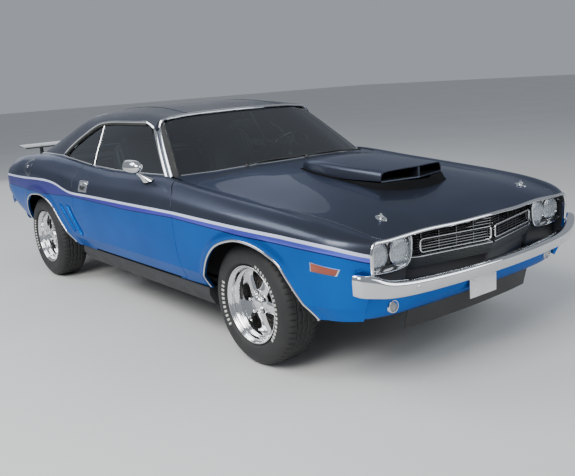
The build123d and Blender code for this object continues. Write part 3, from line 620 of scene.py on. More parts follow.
def side_grid(xs, ts):
    """Left side of the body, from the lower edge up to the centre line."""
    yz = section_curve(controls(BODY_F, 8, xs), ts, (1, 3))
    p = np.zeros((len(xs), len(ts), 3))
    p[..., 0] = xs[:, None]
    p[..., 1:] = yz
    flat = p.reshape(-1, 3)
    side = flat[:, 2] < 760
    d = np.full(len(flat), 999.0)
    near = side & (np.abs(flat[:, 0] - FRONT_AXLE_X) < 640)
    d[near] = line_dist(flat[near][:, [0, 2]], FRONT_ARCH_C)
    near2 = side & (np.abs(flat[:, 0] - REAR_AXLE_X) < 760)
    d2 = np.full(len(flat), 999.0)
    d2[near2] = line_dist(flat[near2][:, [0, 2]], REAR_ARCH_C)
    flat[:, 1] += 9.0 * (1 - smoothstep(16, 62, d)) + 6.4 * (1 - smoothstep(20, 85, d2))
    q = side & (flat[:, 0] > -820) & (flat[:, 0] < -400)
    flat[q, 1] -= louvre_depth(flat[q, 0], flat[q, 2])
    return p


def around(t0, fine=0.012, n=3):
    return [t0 + k * fine for k in range(-n, n + 1)]


T_SIDE = np.unique(np.round(np.concatenate([
    np.linspace(0, 1, 11), around(1.0, 0.02, 2), np.linspace(1, 2, 17), np.linspace(2, 3, 17), around(3.0, 0.018, 3),
    np.linspace(3, 4, 11), np.linspace(4, 5, 12), np.linspace(5, 6, 9)]), 5))
T_TOP = np.unique(np.round(np.concatenate([np.linspace(6, 7, 20), around(7.0, 0.012, 3), np.linspace(7, 8, 22)]), 5))


def stripe_values(v):
    """Heights in metres above the light line's top edge and the band's bottom."""
    sx = np.abs(v[:, 0]) * 0 + v[:, 0]
    top = np.interp(sx, STRIPE_FX, STRIPE_FT)
    low = np.interp(sx, STRIPE_FX, STRIPE_FL)
    return {"above_line": (v[:, 2] - top) * 0.001, "above_band": (v[:, 2] - low) * 0.001}


STRIPE_FX = np.arange(-2450.0, 2421.0, 10.0)


def rounded(line, sigma=35.0):
    v = np.interp(STRIPE_FX, [p[0] for p in line], [p[1] for p in line])
    k = np.arange(-12, 13) * 10.0
    g = np.exp(-0.5 * (k / sigma) ** 2)
    return np.convolve(np.pad(v, 12, "edge"), g / g.sum(), "valid")


STRIPE_FT, STRIPE_FL = rounded(STRIPE_TOP), rounded(STRIPE_LOW)


# =====================================================================
# Materials
# =====================================================================
def new_mat(name):
    m = bpy.data.materials.new(name)
    m.use_nodes = True
    nt = m.node_tree
    nt.nodes.clear()
    out = nt.nodes.new("ShaderNodeOutputMaterial")
    bsdf = nt.nodes.new("ShaderNodeBsdfPrincipled")
    nt.links.new(bsdf.outputs[0], out.inputs[0])
    return m, nt, bsdf


def node(nt, kind, **kw):
    n = nt.nodes.new(kind)
    for k, v in kw.items():
        if k.startswith("in_"):
            key = k[3:].replace("_", " ")
            (n.inputs[int(key)] if key.isdigit() else n.inputs[key]).default_value = v
        else:
            setattr(n, k, v)
    return n


def noise_tex(nt, scale, detail=4.0, rough=0.5, coord=None, dims=None):
    n = node(nt, "ShaderNodeTexNoise", in_Scale=scale, in_Detail=detail, in_Roughness=rough)
    if coord is None:
        coord = obj_coords(nt)
    nt.links.new(coord, n.inputs["Vector"])
    return n


def obj_coords(nt):
    for n in nt.nodes:
        if n.bl_idname == "ShaderNodeTexCoord":
            return n.outputs["Object"]
    return nt.nodes.new("ShaderNodeTexCoord").outputs["Object"]


def ramp(nt, src, stops):
    r = nt.nodes.new("ShaderNodeValToRGB")
    el = r.color_ramp.elements
    while len(el) > 1:
        el.remove(el[-1])
    el[0].position, el[0].color = stops[0][0], tuple(stops[0][1]) + (1,)
    for p, c in stops[1:]:
        e = el.new(p)
        e.color = tuple(c) + (1,)
    nt.links.new(src, r.inputs[0])
    return r.outputs[0]


def mix_col(nt, fac, a, b):
    m = nt.nodes.new("ShaderNodeMix")
    m.data_type = "RGBA"
    for sock, val in ((m.inputs[0], fac), (m.inputs[6], a), (m.inputs[7], b)):
        if hasattr(val, "links") or isinstance(val, bpy.types.NodeSocket):
            nt.links.new(val, sock)
        elif isinstance(val, (int, float)):
            sock.default_value = val
        else:
            sock.default_value = tuple(val) + (1,)
    return m.outputs[2]


def map_range(nt, src, a, b, c, d, clamp=True, smooth=False):
    m = nt.nodes.new("ShaderNodeMapRange")
    m.clamp = clamp
    if smooth:
        m.interpolation_type = "SMOOTHSTEP"
    nt.links.new(src, m.inputs[0])
    for i, v in enumerate((a, b, c, d)):
        m.inputs[i + 1].default_value = v
    return m.outputs[0]


def math_node(nt, op, a, b=0.0):
    m = nt.nodes.new("ShaderNodeMath")
    m.operation = op
    for i, v in enumerate((a, b)):
        if isinstance(v, bpy.types.NodeSocket):
            nt.links.new(v, m.inputs[i])
        else:
            m.inputs[i].default_value = v
    return m.outputs[0]


def bump(nt, bsdf, height, strength, dist=0.001):
    b = node(nt, "ShaderNodeBump", in_Strength=strength, in_Distance=dist)
    nt.links.new(height, b.inputs["Height"])
    nt.links.new(b.outputs[0], bsdf.inputs["Normal"])
    return b


def flakes(nt, bsdf, base, strength=0.12, scale=1500.0):
    """Metallic paint: fine bright and dark flakes in the colour under a clear coat."""
    co = obj_coords(nt)
    v = node(nt, "ShaderNodeTexVoronoi", in_Scale=scale)
    nt.links.new(co, v.inputs["Vector"])
    sep = nt.nodes.new("ShaderNodeSeparateColor")
    nt.links.new(v.outputs["Color"], sep.inputs[0])
    large = noise_tex(nt, 3.0, 2.0)
    f = math_node(nt, "MULTIPLY", sep.outputs[0], strength)
    k = math_node(nt, "ADD", f, map_range(nt, large.outputs[0], 0.3, 0.7, 1.0 - strength * 0.7, 1.0 - strength * 0.2))
    mul = nt.nodes.new("ShaderNodeVectorMath")
    mul.operation = "SCALE"
    nt.links.new(base, mul.inputs[0])
    nt.links.new(k, mul.inputs["Scale"])
    nt.links.new(mul.outputs[0], bsdf.inputs["Base Color"])


def rgb_const(nt, c):
    n = nt.nodes.new("ShaderNodeRGB")
    n.outputs[0].default_value = tuple(c) + (1,)
    return n.outputs[0]


UPPER = (0.060, 0.068, 0.092)
LOWER = (0.001, 0.110, 0.46)
VIOLET = (0.075, 0.055, 0.55)
LINE = (0.72, 0.77, 1.0)
NAVY = (0.008, 0.012, 0.08)


def paint_setup(bsdf, metallic=0.85, rough=0.36):
    bsdf.inputs["Metallic"].default_value = metallic
    bsdf.inputs["Roughness"].default_value = rough
    bsdf.inputs["Specular IOR Level"].default_value = 0.05
    bsdf.inputs["Specular Tint"].default_value = (0.55, 0.62, 0.82, 1.0)
    bsdf.inputs["Coat Weight"].default_value = 0.26
    bsdf.inputs["Coat Roughness"].default_value = 0.03
    bsdf.inputs["Coat IOR"].default_value = 1.42


def make_paint(name, colour, strength=0.35):
    m, nt, b = new_mat(name)
    paint_setup(b)
    flakes(nt, b, rgb_const(nt, colour), strength)
    peel = noise_tex(nt, 260.0, 2.0)
    bump(nt, b, peel.outputs[0], 0.035, 0.0006)
    return m


def make_two_tone(name):
    m, nt, b = new_mat(name)
    paint_setup(b)
    top = node(nt, "ShaderNodeAttribute", attribute_name="above_line").outputs["Fac"]
    low = node(nt, "ShaderNodeAttribute", attribute_name="above_band").outputs["Fac"]
    sep = nt.nodes.new("ShaderNodeSeparateXYZ")
    nt.links.new(obj_coords(nt), sep.inputs[0])
    lengthways = map_range(nt, sep.outputs[0], -2.2, 2.2, 0.0, 1.0)
    band = ramp(nt, lengthways, [(0.0, (0.045, 0.035, 0.26)), (0.35, (0.055, 0.05, 0.36)), (0.62, VIOLET), (1.0, (0.13, 0.16, 0.78))])
    body = mix_col(nt, map_range(nt, low, -0.0006, 0.0006, 0, 1), LOWER, NAVY)
    body = mix_col(nt, map_range(nt, low, 0.0048, 0.0060, 0, 1), body, band)
    body = mix_col(nt, map_range(nt, top, -0.0161, -0.0149, 0, 1), body, LINE)
    body = mix_col(nt, map_range(nt, top, -0.0006, 0.0006, 0, 1), body, UPPER)
    on_line = math_node(nt, "MULTIPLY", map_range(nt, top, -0.0161, -0.0149, 0, 1), map_range(nt, top, -0.0006, 0.0006, 1, 0))
    nt.links.new(map_range(nt, on_line, 0, 1, 0.85, 0.30), b.inputs["Metallic"])
    flakes(nt, b, body, 0.35)
    peel = noise_tex(nt, 260.0, 2.0)
    bump(nt, b, peel.outputs[0], 0.035, 0.0006)
    return m


def make_metal(name, colour, rough, scratch=0.0, metallic=1.0, noise_scale=6.0, grime=None):
    m, nt, b = new_mat(name)
    b.inputs["Metallic"].default_value = metallic
    n = noise_tex(nt, noise_scale, 5.0)
    c = mix_col(nt, map_range(nt, n.outputs[0], 0.35, 0.65, 0, 1), tuple(k * 0.93 for k in colour), colour)
    if grime is not None:
        g = noise_tex(nt, 14.0, 6.0, 0.6)
        c = mix_col(nt, map_range(nt, g.outputs[0], 0.5, 0.72, 0, 0.7), c, grime)
    nt.links.new(c, b.inputs["Base Color"])
    fine = noise_tex(nt, 90.0, 3.0)
    nt.links.new(map_range(nt, fine.outputs[0], 0.3, 0.7, rough * 0.75, rough * 1.35), b.inputs["Roughness"])
    if scratch:
        s = noise_tex(nt, 900.0, 2.0)
        bump(nt, b, s.outputs[0], scratch, 0.0003)
    return m


def make_plastic(name, colour, rough=0.5, bump_s=0.1, scale=700.0, coat=0.0):
    m, nt, b = new_mat(name)
    n = noise_tex(nt, 5.0, 5.0)
    c = mix_col(nt, map_range(nt, n.outputs[0], 0.3, 0.7, 0, 1), tuple(k * 0.8 for k in colour), tuple(min(1, k * 1.2) for k in colour))
    nt.links.new(c, b.inputs["Base Color"])
    g = noise_tex(nt, scale, 3.0)
    nt.links.new(map_range(nt, g.outputs[0], 0.3, 0.7, rough * 0.85, min(1, rough * 1.15)), b.inputs["Roughness"])
    b.inputs["Coat Weight"].default_value = coat
    if bump_s:
        bump(nt, b, g.outputs[0], bump_s, 0.0006)
    return m


def make_vinyl(name, colour, rough=0.42, scale=420.0, strength=0.35):
    """Grained leather-like vinyl: small cells with soft valleys."""
    m, nt, b = new_mat(name)
    co = obj_coords(nt)
    v = node(nt, "ShaderNodeTexVoronoi", in_Scale=scale)
    v.feature = "SMOOTH_F1"
    nt.links.new(co, v.inputs["Vector"])
    n = noise_tex(nt, scale * 0.4, 6.0, 0.6)
    h = math_node(nt, "ADD", v.outputs["Distance"], n.outputs[0])
    big = noise_tex(nt, 4.0, 3.0)
    c = mix_col(nt, map_range(nt, big.outputs[0], 0.35, 0.65, 0, 1), tuple(k * 0.85 for k in colour), tuple(min(1, k * 1.12) for k in colour))
    c = mix_col(nt, map_range(nt, h, 0.5, 1.1, 0, 0.35), c, tuple(k * 0.4 for k in colour))
    nt.links.new(c, b.inputs["Base Color"])
    nt.links.new(map_range(nt, n.outputs[0], 0.3, 0.7, rough * 0.85, rough * 1.2), b.inputs["Roughness"])
    b.inputs["Specular IOR Level"].default_value = 0.3
    bump(nt, b, h, strength, 0.0009)
    return m


def make_glass(name, tint=(0.55, 0.68, 0.66), alpha=0.35, rough=0.0):
    """Thin tinted pane: mostly see-through, with a clear mirror gloss."""
    m = bpy.data.materials.new(name)
    m.use_nodes = True
    nt = m.node_tree
    nt.nodes.clear()
    out = nt.nodes.new("ShaderNodeOutputMaterial")
    tr = nt.nodes.new("ShaderNodeBsdfTransparent")
    gl = nt.nodes.new("ShaderNodeBsdfGlossy")
    gl.inputs["Roughness"].default_value = 0.012
    n = noise_tex(nt, 2.0, 2.0)
    nt.links.new(mix_col(nt, map_range(nt, n.outputs[0], 0.3, 0.7, 0, 1), tint, tuple(min(1, k * 1.06) for k in tint)), tr.inputs[0])
    gl.inputs["Color"].default_value = (0.92, 0.95, 1.0, 1)
    fr = node(nt, "ShaderNodeFresnel", in_IOR=1.55)
    wav = noise_tex(nt, 1.6, 1.0)
    bp = node(nt, "ShaderNodeBump", in_Strength=0.02, in_Distance=0.004)
    nt.links.new(wav.outputs[0], bp.inputs["Height"])
    nt.links.new(bp.outputs[0], gl.inputs["Normal"])
    mx = nt.nodes.new("ShaderNodeMixShader")
    f = map_range(nt, fr.outputs[0], 0.0, 1.0, 0.06, 1.0)
    nt.links.new(f, mx.inputs[0])
    nt.links.new(tr.outputs[0], mx.inputs[1])
    nt.links.new(gl.outputs[0], mx.inputs[2])
    nt.links.new(mx.outputs[0], out.inputs[0])
    return m


def make_lens(name, colour, rough=0.12, ribs=0.0, transmission=0.3):
    m, nt, b = new_mat(name)
    n = noise_tex(nt, 30.0, 2.0)
    c = mix_col(nt, map_range(nt, n.outputs[0], 0.3, 0.7, 0, 1), tuple(k * 0.85 for k in colour), colour)
    nt.links.new(c, b.inputs["Base Color"])
    b.inputs["Roughness"].default_value = rough
    b.inputs["Coat Weight"].default_value = 1.0
    b.inputs["Coat Roughness"].default_value = 0.02
    b.inputs["Transmission Weight"].default_value = transmission
    if ribs:
        w = node(nt, "ShaderNodeTexWave", in_Scale=ribs, in_Distortion=0.0)
        w.bands_direction = "Y"
        nt.links.new(obj_coords(nt), w.inputs["Vector"])
        bump(nt, b, w.outputs["Fac"], 0.5, 0.002)
    return m


def make_headlamp(name):
    """Clear fluted lens over a bright bowl."""
    m = bpy.data.materials.new(name)
    m.use_nodes = True
    nt = m.node_tree
    nt.nodes.clear()
    out = nt.nodes.new("ShaderNodeOutputMaterial")
    tr = nt.nodes.new("ShaderNodeBsdfTransparent")
    n = noise_tex(nt, 12.0, 2.0)
    nt.links.new(mix_col(nt, map_range(nt, n.outputs[0], 0.3, 0.7, 0, 1), (0.80, 0.83, 0.86), (0.90, 0.92, 0.94)), tr.inputs[0])
    gl = nt.nodes.new("ShaderNodeBsdfPrincipled")
    gl.inputs["Base Color"].default_value = (0.62, 0.66, 0.70, 1)
    gl.inputs["Roughness"].default_value = 0.10
    gl.inputs["Metallic"].default_value = 0.25
    w = node(nt, "ShaderNodeTexWave", in_Scale=38.0, in_Distortion=0.0)
    w.bands_direction = "Y"
    w.wave_profile = "SIN"
    nt.links.new(obj_coords(nt), w.inputs["Vector"])
    w2 = node(nt, "ShaderNodeTexWave", in_Scale=9.0, in_Distortion=0.0)
    w2.bands_direction = "Z"
    nt.links.new(obj_coords(nt), w2.inputs["Vector"])
    bp = node(nt, "ShaderNodeBump", in_Strength=0.3, in_Distance=0.0015)
    nt.links.new(math_node(nt, "ADD", w.outputs["Fac"], w2.outputs["Fac"]), bp.inputs["Height"])
    nt.links.new(bp.outputs[0], gl.inputs["Normal"])
    mx = nt.nodes.new("ShaderNodeMixShader")
    mx.inputs[0].default_value = 0.42
    nt.links.new(tr.outputs[0], mx.inputs[1])
    nt.links.new(gl.outputs[0], mx.inputs[2])
    nt.links.new(mx.outputs[0], out.inputs[0])
    return m


def make_rubber(name, colour=(0.018, 0.018, 0.019)):
    m, nt, b = new_mat(name)
    n = noise_tex(nt, 8.0, 6.0, 0.6)
    c = mix_col(nt, map_range(nt, n.outputs[0], 0.42, 0.7, 0, 0.6), colour, (0.045, 0.044, 0.042))
    nt.links.new(c, b.inputs["Base Color"])
    g = noise_tex(nt, 500.0, 3.0)
    nt.links.new(map_range(nt, n.outputs[0], 0.3, 0.7, 0.55, 0.85), b.inputs["Roughness"])
    bump(nt, b, g.outputs[0], 0.15, 0.0008)
    return m


PAINT = make_two_tone("paint_two_tone")
DARK = make_paint("paint_charcoal", UPPER)
BLUE = make_paint("paint_blue", LOWER)
CHROME = make_metal("chrome", (0.73, 0.74, 0.76), 0.05)
POLISHED = make_metal("polished_alloy", (0.83, 0.83, 0.84), 0.09, scratch=0.05)
DRUM = make_metal("brake_drum", (0.030, 0.029, 0.028), 0.6, scratch=0.3, metallic=0.6, grime=(0.05, 0.035, 0.025))
CAST = make_metal("satin_alloy", (0.42, 0.42, 0.43), 0.34, scratch=0.2)
STEEL = make_metal("dull_steel", (0.40, 0.39, 0.38), 0.42, scratch=0.25, grime=(0.16, 0.13, 0.10))
BLACK_STEEL = make_metal("chassis_black", (0.022, 0.022, 0.023), 0.45, scratch=0.3, metallic=0.2, grime=(0.06, 0.055, 0.05))
IRON = make_metal("engine_iron", (0.060, 0.060, 0.062), 0.50, scratch=0.5, metallic=0.5, grime=(0.022, 0.020, 0.018))
BLACK = make_plastic("black_satin", (0.012, 0.012, 0.013), 0.45, 0.12)
BLACK_GLOSS = make_plastic("black_gloss", (0.010, 0.010, 0.012), 0.18, 0.02, coat=1.0)
GASKET = make_rubber("gasket_rubber", (0.012, 0.012, 0.012))
RUBBER = make_rubber("tyre_rubber")
WHITE_MARK = make_plastic("tyre_marks", (0.62, 0.61, 0.58), 0.6, 0.15)
VINYL = make_vinyl("roof_vinyl", (0.042, 0.048, 0.066), 0.46, 330.0, 0.30)
VINYL.node_tree.nodes["Principled BSDF"].inputs["Specular IOR Level"].default_value = 0.16
SEAT = make_vinyl("seat_vinyl", (0.020, 0.020, 0.022), 0.38, 520.0, 0.25)
TRIM_VINYL = make_vinyl("trim_vinyl", (0.026, 0.026, 0.028), 0.48, 380.0, 0.25)
HEADLINER = make_vinyl("headliner", (0.10, 0.10, 0.105), 0.7, 700.0, 0.15)
CARPET = make_plastic("carpet", (0.014, 0.014, 0.015), 0.95, 0.9, 420.0)
GLASS = make_glass("window_glass")
LAMP_GLASS = make_lens("lamp_glass", (0.86, 0.88, 0.92), 0.06, 0.0, 0.9)
RED_LENS = make_lens("red_lens", (0.25, 0.004, 0.006), 0.20, 220.0, 0.0)
AMBER = make_lens("amber_lens", (0.30, 0.036, 0.003), 0.20, 260.0, 0.0)
SATIN_GREY = make_plastic("grille_satin", (0.015, 0.017, 0.017), 0.46, 0.06)
# matte black for the scoop plinth, part of which is painted shadow of the scoop on the hood
MATTE_BLACK = make_plastic("black_matte", (0.005, 0.005, 0.006), 0.85, 0.10)
MATTE_BLACK.node_tree.nodes["Principled BSDF"].inputs["Specular IOR Level"].default_value = 0.12
SILVER = make_metal("lamp_panel_silver", (0.62, 0.63, 0.64), 0.26, scratch=0.05)
HEADLAMP = make_headlamp("headlamp_lens")
LAMP_LENS = make_lens("round_lamp_lens", (0.75, 0.76, 0.74), 0.10, 180.0, 0.5)
PLATE = make_plastic("plate_white", (0.78, 0.78, 0.76), 0.35, 0.02)
TAIL_BLACK = make_plastic("tail_black", (0.010, 0.010, 0.011), 0.30, 0.05, coat=0.4)
MIRROR = make_metal("mirror_glass", (0.82, 0.84, 0.86), 0.02)
DIAL = make_plastic("dial_black", (0.006, 0.006, 0.006), 0.35, 0.05, coat=0.8)
# near-black underseal; on the sills it is painted shade, so that they pass for the shadow under the body
UNDERSEAL_AND_SHADE = make_rubber("underseal_and_painted_shade", (0.030, 0.031, 0.034))


# =====================================================================
# Lower body panels
# =====================================================================
def side_xs(a, b, step=10.0, fine=()):
    xs = list(np.arange(a, b, step)) + [b]
    for f0, f1, s in fine:
        xs += list(np.arange(max(f0, a), min(f1, b), s))
    return np.unique(np.round(xs, 3))


FRONT_EDGE = curve_through([(2284, 775), (2292, 743), (2296, 720), (2297, 690), (2297, 640), (2295, 590), (2286, 530), (2264, 450), (2236, 380), (2225, 330)], 6.0)


def front_edge(z):
    return np.interp(z, FRONT_EDGE[::-1, 1], FRONT_EDGE[::-1, 0])


fender = grid_patch(side_grid(side_xs(800, 2385), T_SIDE), flip=True)
fender.clip(lambda v: sdf(xz(v), DOOR_C) - 5.0)
fender.clip(lambda v: v[:, 0] - 762.0)
fender.clip(lambda v: sdf(xz(v), FRONT_ARCH_C) + 0.0)
fender.clip(lambda v: v[:, 1] - hood_line(v[:, 0]) - 3.2)
fender.clip(lambda v: front_edge(v[:, 2]) - v[:, 0])
fender.fold(14.0, 1.6)
for side, p in (("left", fender), ("right", fender.mirrored())):
    patch_object("front_fender_panel_" + side, p, PAINT, "body", values=stripe_values(p.v), slot="two_tone_paint", replaces=["front_fender_" + side])

door = grid_patch(side_grid(side_xs(-560, 960), T_SIDE[T_SIDE < 5.66]), flip=True)
door.clip(lambda v: -sdf(xz(v), DOOR_C) - 0.4)
door.fold(16.0, 1.6)
door_values = stripe_values(door.v)
for side, p in (("left", door), ("right", door.mirrored())):
    patch_object("door_panel_" + side, p, PAINT, "door_" + side, values=stripe_values(p.v), slot="two_tone_paint", replaces=["door_" + side])

quarter_xs = side_xs(-2400, -380, 10.0, fine=((-800, -440, 4.0),))
T_QUARTER = np.unique(np.round(np.concatenate([T_SIDE, np.linspace(6, 7, 16)]), 5))
quarter = grid_patch(side_grid(quarter_xs, T_QUARTER), flip=True)
quarter.clip(lambda v: sdf(xz(v), DOOR_C) - 5.0)
quarter.clip(lambda v: sdf(xz(v), REAR_ARCH_C))
DECK_X = np.array([p[0] for p in DECK_LINE])


def deck_line(x):
    return np.interp(x, DECK_X[::-1], [p[1] for p in DECK_LINE[::-1]])


def quarter_inner(v):
    """Keeps the quarter outside the deck opening and outside the cabin."""
    behind = v[:, 1] - deck_line(v[:, 0]) - 2.8
    ahead = v[:, 1] - np.interp(v[:, 0], [-1680, -1450, -1250, -1016, -700, -480], [632, 690, 728, 752, 768, 770])
    t = smoothstep(-1680, -1672, v[:, 0])
    return np.where(v[:, 2] > 700, behind * (1 - t) + ahead * t, 1.0)


quarter.clip(quarter_inner)
REAR_EDGE = [(-2350, 1000), (-2350, 862), (-2356, 800), (-2352, 700), (-2345, 560), (-2335, 440), (-2330, 380)]
quarter.clip(lambda v: v[:, 0] - np.interp(-v[:, 2], [-p[1] for p in REAR_EDGE], [p[0] for p in REAR_EDGE]))
quarter.fold(16.0, 1.6)
for side, p in (("left", quarter), ("right", quarter.mirrored())):
    patch_object("rear_quarter_panel_" + side, p, PAINT, "body", values=stripe_values(p.v), slot="two_tone_paint", replaces=["rear_quarter_" + side])


def both_sides(ts, xs):
    """Grid from the left edge over the top to the right edge."""
    g = side_grid(xs, ts)
    r = g[:, ::-1][:, 1:].copy()
    r[..., 1] *= -1
    return np.concatenate([g, r], axis=1)


NOSE_C = curve_through([(2292, 700), (2306, 600), (2326, 400), (2350, 200), (2360, 0)], 8.0)


def nose_x(y):
    return np.interp(np.abs(y), NOSE_C[::-1, 1], NOSE_C[::-1, 0])


hood = grid_patch(both_sides(T_TOP, side_xs(925, 2380, 14.0)), flip=True)
hood.clip(lambda v: v[:, 0] - 931.0)
hood.clip(lambda v: hood_line(v[:, 0]) - 3.2 - np.abs(v[:, 1]))
hood.clip(lambda v: nose_x(v[:, 1]) - v[:, 0])
hood.fold(18.0, 2.0)
patch_object("hood_panel", hood, DARK, "hood", slot="dark_paint", replaces=["hood"])

cowl = grid_patch(both_sides(T_TOP, side_xs(700, 930, 14.0)), flip=True)
cowl.clip(lambda v: 925.0 - v[:, 0])
cowl.clip(lambda v: hood_line(v[:, 0]) - 3.2 - np.abs(v[:, 1]))
cowl.fold(10.0, 1.4)
patch_object("cowl_top", cowl, DARK, "body", slot="dark_paint", replaces=["cowl_panel"])

trunk = grid_patch(both_sides(np.unique(np.concatenate([np.linspace(5.8, 6, 3), T_TOP])), side_xs(-2360, -1680, 12.0)), flip=True)
trunk.clip(lambda v: -1686.0 - v[:, 0])
trunk.clip(lambda v: v[:, 0] + 2330.0)
trunk.clip(lambda v: deck_line(v[:, 0]) - 2.8 - np.abs(v[:, 1]))
trunk.fold(18.0, 2.0)
patch_object("trunk_panel", trunk, DARK, "trunk_lid", slot="dark_paint", replaces=["trunk_lid"])

deck = grid_patch(both_sides(T_TOP, side_xs(-1690, -1600, 10.0)), flip=True)
deck.clip(lambda v: v[:, 0] + 1680.0)
deck.clip(lambda v: -1622.0 - v[:, 0])
deck.clip(lambda v: 640.0 - np.abs(v[:, 1]))
deck.fold(10.0, 1.4)
patch_object("deck_filler", deck, DARK, "body", slot="dark_paint", replaces=["deck_panel"])

# =====================================================================
# Greenhouse: vinyl roof, headliner, pillars, glass
# =====================================================================
GH_T = np.linspace(0, 2.6, 70)


def gh_y(x, z, inset=0.0):
    """Half width of the greenhouse at x and height z."""
    x, z = np.atleast_1d(np.asarray(x, float)), np.atleast_1d(np.asarray(z, float))
    c = section_curve(controls(GH_F, 4, x), GH_T, ())
    return np.array([np.interp(zz, cc[:, 1], cc[:, 0]) for zz, cc in zip(z, c)]) - inset


def side_y(x, z):
    """Half width of the lower body at x and height z, below the shoulder."""
    x, z = np.atleast_1d(np.asarray(x, float)), np.atleast_1d(np.asarray(z, float))
    tt = np.linspace(0, 4.6, 120)
    c = section_curve(controls(BODY_F, 8, x), tt, (1, 3))
    return np.array([np.interp(zz, cc[:, 1], cc[:, 0]) for zz, cc in zip(z, c)])


def top_z(x, y):
    """Height of the hood, cowl or deck at x and |y|."""
    x, y = np.atleast_1d(np.asarray(x, float)), np.abs(np.atleast_1d(np.asarray(y, float)))
    tt = np.linspace(5, 8, 120)
    c = section_curve(controls(BODY_F, 8, x), tt, (1, 3))
    return np.array([np.interp(yy, cc[::-1, 0], cc[::-1, 1]) for yy, cc in zip(y, c)])


def on_top(x, y, lift=0.0):
    """Points on the hood or deck, as an (n, 3) array."""
    x, y = np.atleast_1d(np.asarray(x, float)), np.atleast_1d(np.asarray(y, float))
    return np.stack([x, y, top_z(x, y) + lift], 1)


def columns_curve(pts, n):
    """Smooth curve through the points, n samples evenly by index."""
    p = np.array(pts, float)
    k = len(p)
    s = np.linspace(0, k - 1, n)
    i = np.clip(np.floor(s).astype(int), 0, k - 2)
    u = (s - i)[:, None]
    e = np.vstack([2 * p[0] - p[1], p, 2 * p[-1] - p[-2]])
    p0, p1, p2, p3 = e[i], e[i + 1], e[i + 2], e[i + 3]
    return 0.5 * (2 * p1 + (p2 - p0) * u + (2 * p0 - 5 * p1 + 4 * p2 - p3) * u**2 + (3 * p1 - p0 - 3 * p2 + p3) * u**3)


WS_FOOT = [(675, -738, 921), (715, -650, 925), (770, -450, 928), (800, 0, 930), (770, 450, 928), (715, 650, 925), (675, 738, 921)]
WS_HEAD = [(275, -585, 1232), (280, -520, 1245), (292, -370, 1257), (300, 0, 1262), (292, 370, 1257), (280, 520, 1245), (275, 585, 1232)]
RW_FOOT = [(-1618, -560, 966), (-1632, -400, 968), (-1640, 0, 969), (-1632, 400, 968), (-1618, 560, 966)]
RW_HEAD = [(-962, -498, 1244), (-968, -350, 1258), (-972, 0, 1264), (-968, 350, 1258), (-962, 498, 1244)]
ws_foot, ws_head = columns_curve(WS_FOOT, 61), columns_curve(WS_HEAD, 61)
rw_foot, rw_head = columns_curve(RW_FOOT, 49), columns_curve(RW_HEAD, 49)


def header_x(y):
    return np.interp(np.abs(y), ws_head[30:, 1], ws_head[30:, 0])


def pane(foot, head, bow, n=22, d=(0.75, 0, 0.66)):
    v = np.linspace(0, 1, n)
    g = foot[:, None] * (1 - v)[None, :, None] + head[:, None] * v[None, :, None]
    return g + np.asarray(d)[None, None] * (bow * np.sin(v * math.pi))[None, :, None]


def pane_object(name, grid, body, node_name, flip=False):
    p = grid_patch(grid, flip=flip)
    p.fold(5.0, 0.8)
    return patch_object(name, p, GLASS, body, slot="glass", replaces=[node_name] if node_name else ())


pane_object("windshield_glass", pane(ws_foot, ws_head, 7.0), "body", "windshield")
pane_object("rear_window_glass", pane(rw_foot, rw_head, 9.0, d=(-0.42, 0, 0.9)), "body", "rear_window", flip=True)

WIN_TOP = [(626, 934), (604, 954), (232, 1210), (180, 1220), (-60, 1224), (-400, 1222), (-562, 1205), (-704, 1153), (-866, 1075), (-980, 1000), (-1030, 950)]
WIN_C = curve_through(WIN_TOP, 12.0)
WIN_POLY = np.vstack([[(760, 700)], WIN_C, [(-1060, 700)]])
REAR_HOLE = curve_through([(-948, 0), (-950, 300), (-962, 440), (-1010, 500), (-1150, 512), (-1400, 534), (-1600, 556), (-1720, 570)], 10.0)
REAR_HOLE = np.vstack([REAR_HOLE, REAR_HOLE[::-1] * [1, -1]])
T_ROOF = np.unique(np.round(np.concatenate([np.linspace(0, 1, 12), np.linspace(1, 2, 18), np.linspace(2, 3, 16), np.linspace(3, 4, 14)]), 5))


def gh_grid(xs, ts):
    yz = section_curve(controls(GH_F, 4, xs), ts, ())
    g = np.zeros((len(xs), len(ts), 3))
    g[..., 0] = xs[:, None]
    g[..., 1:] = yz
    r = g[:, ::-1][:, 1:].copy()
    r[..., 1] *= -1
    return np.concatenate([g, r], axis=1)


roof_grid = gh_grid(side_xs(-1700, 330, 13.0), T_ROOF)
roof = grid_patch(roof_grid, flip=True)
roof.clip(lambda v: header_x(v[:, 1]) - 2.0 - v[:, 0])
roof.clip(lambda v: sdf(xz(v), WIN_POLY) - 4.0)
roof.clip(lambda v: sdf(xy(v), REAR_HOLE))
roof.clip(lambda v: v[:, 0] + 1668.0)
lining = roof.copy()
roof.fold(20.0, 2.4)
patch_object("roof_panel", roof, VINYL, "body", slot="vinyl_roof", replaces=["roof"])
lining = Patch(lining.v - lining.n * 19.0, -lining.n, lining.f[:, ::-1])
patch_object("headliner", lining, HEADLINER, "body", slot="vinyl_roof")

# welted seams of the vinyl top, from the header back to the rear window
seams = Mesh()
for y0, y1 in ((395, 350), (-395, -350)):
    xs_ = np.linspace(header_x(y0) - 6.0, -945, 60)
    ys_ = np.interp(xs_, [-945, 290], [y1, y0])
    cc = section_curve(controls(GH_F, 4, xs_), np.linspace(2, 4, 80), ())
    zs_ = np.array([np.interp(abs(yy), c[::-1, 0], c[::-1, 1]) for yy, c in zip(ys_, cc)])
    seams.tube(np.stack([xs_, ys_, zs_ + 0.4], 1), 3.2, n=8)
seams.obj("roof_seams", VINYL, "body", slot="vinyl_roof")

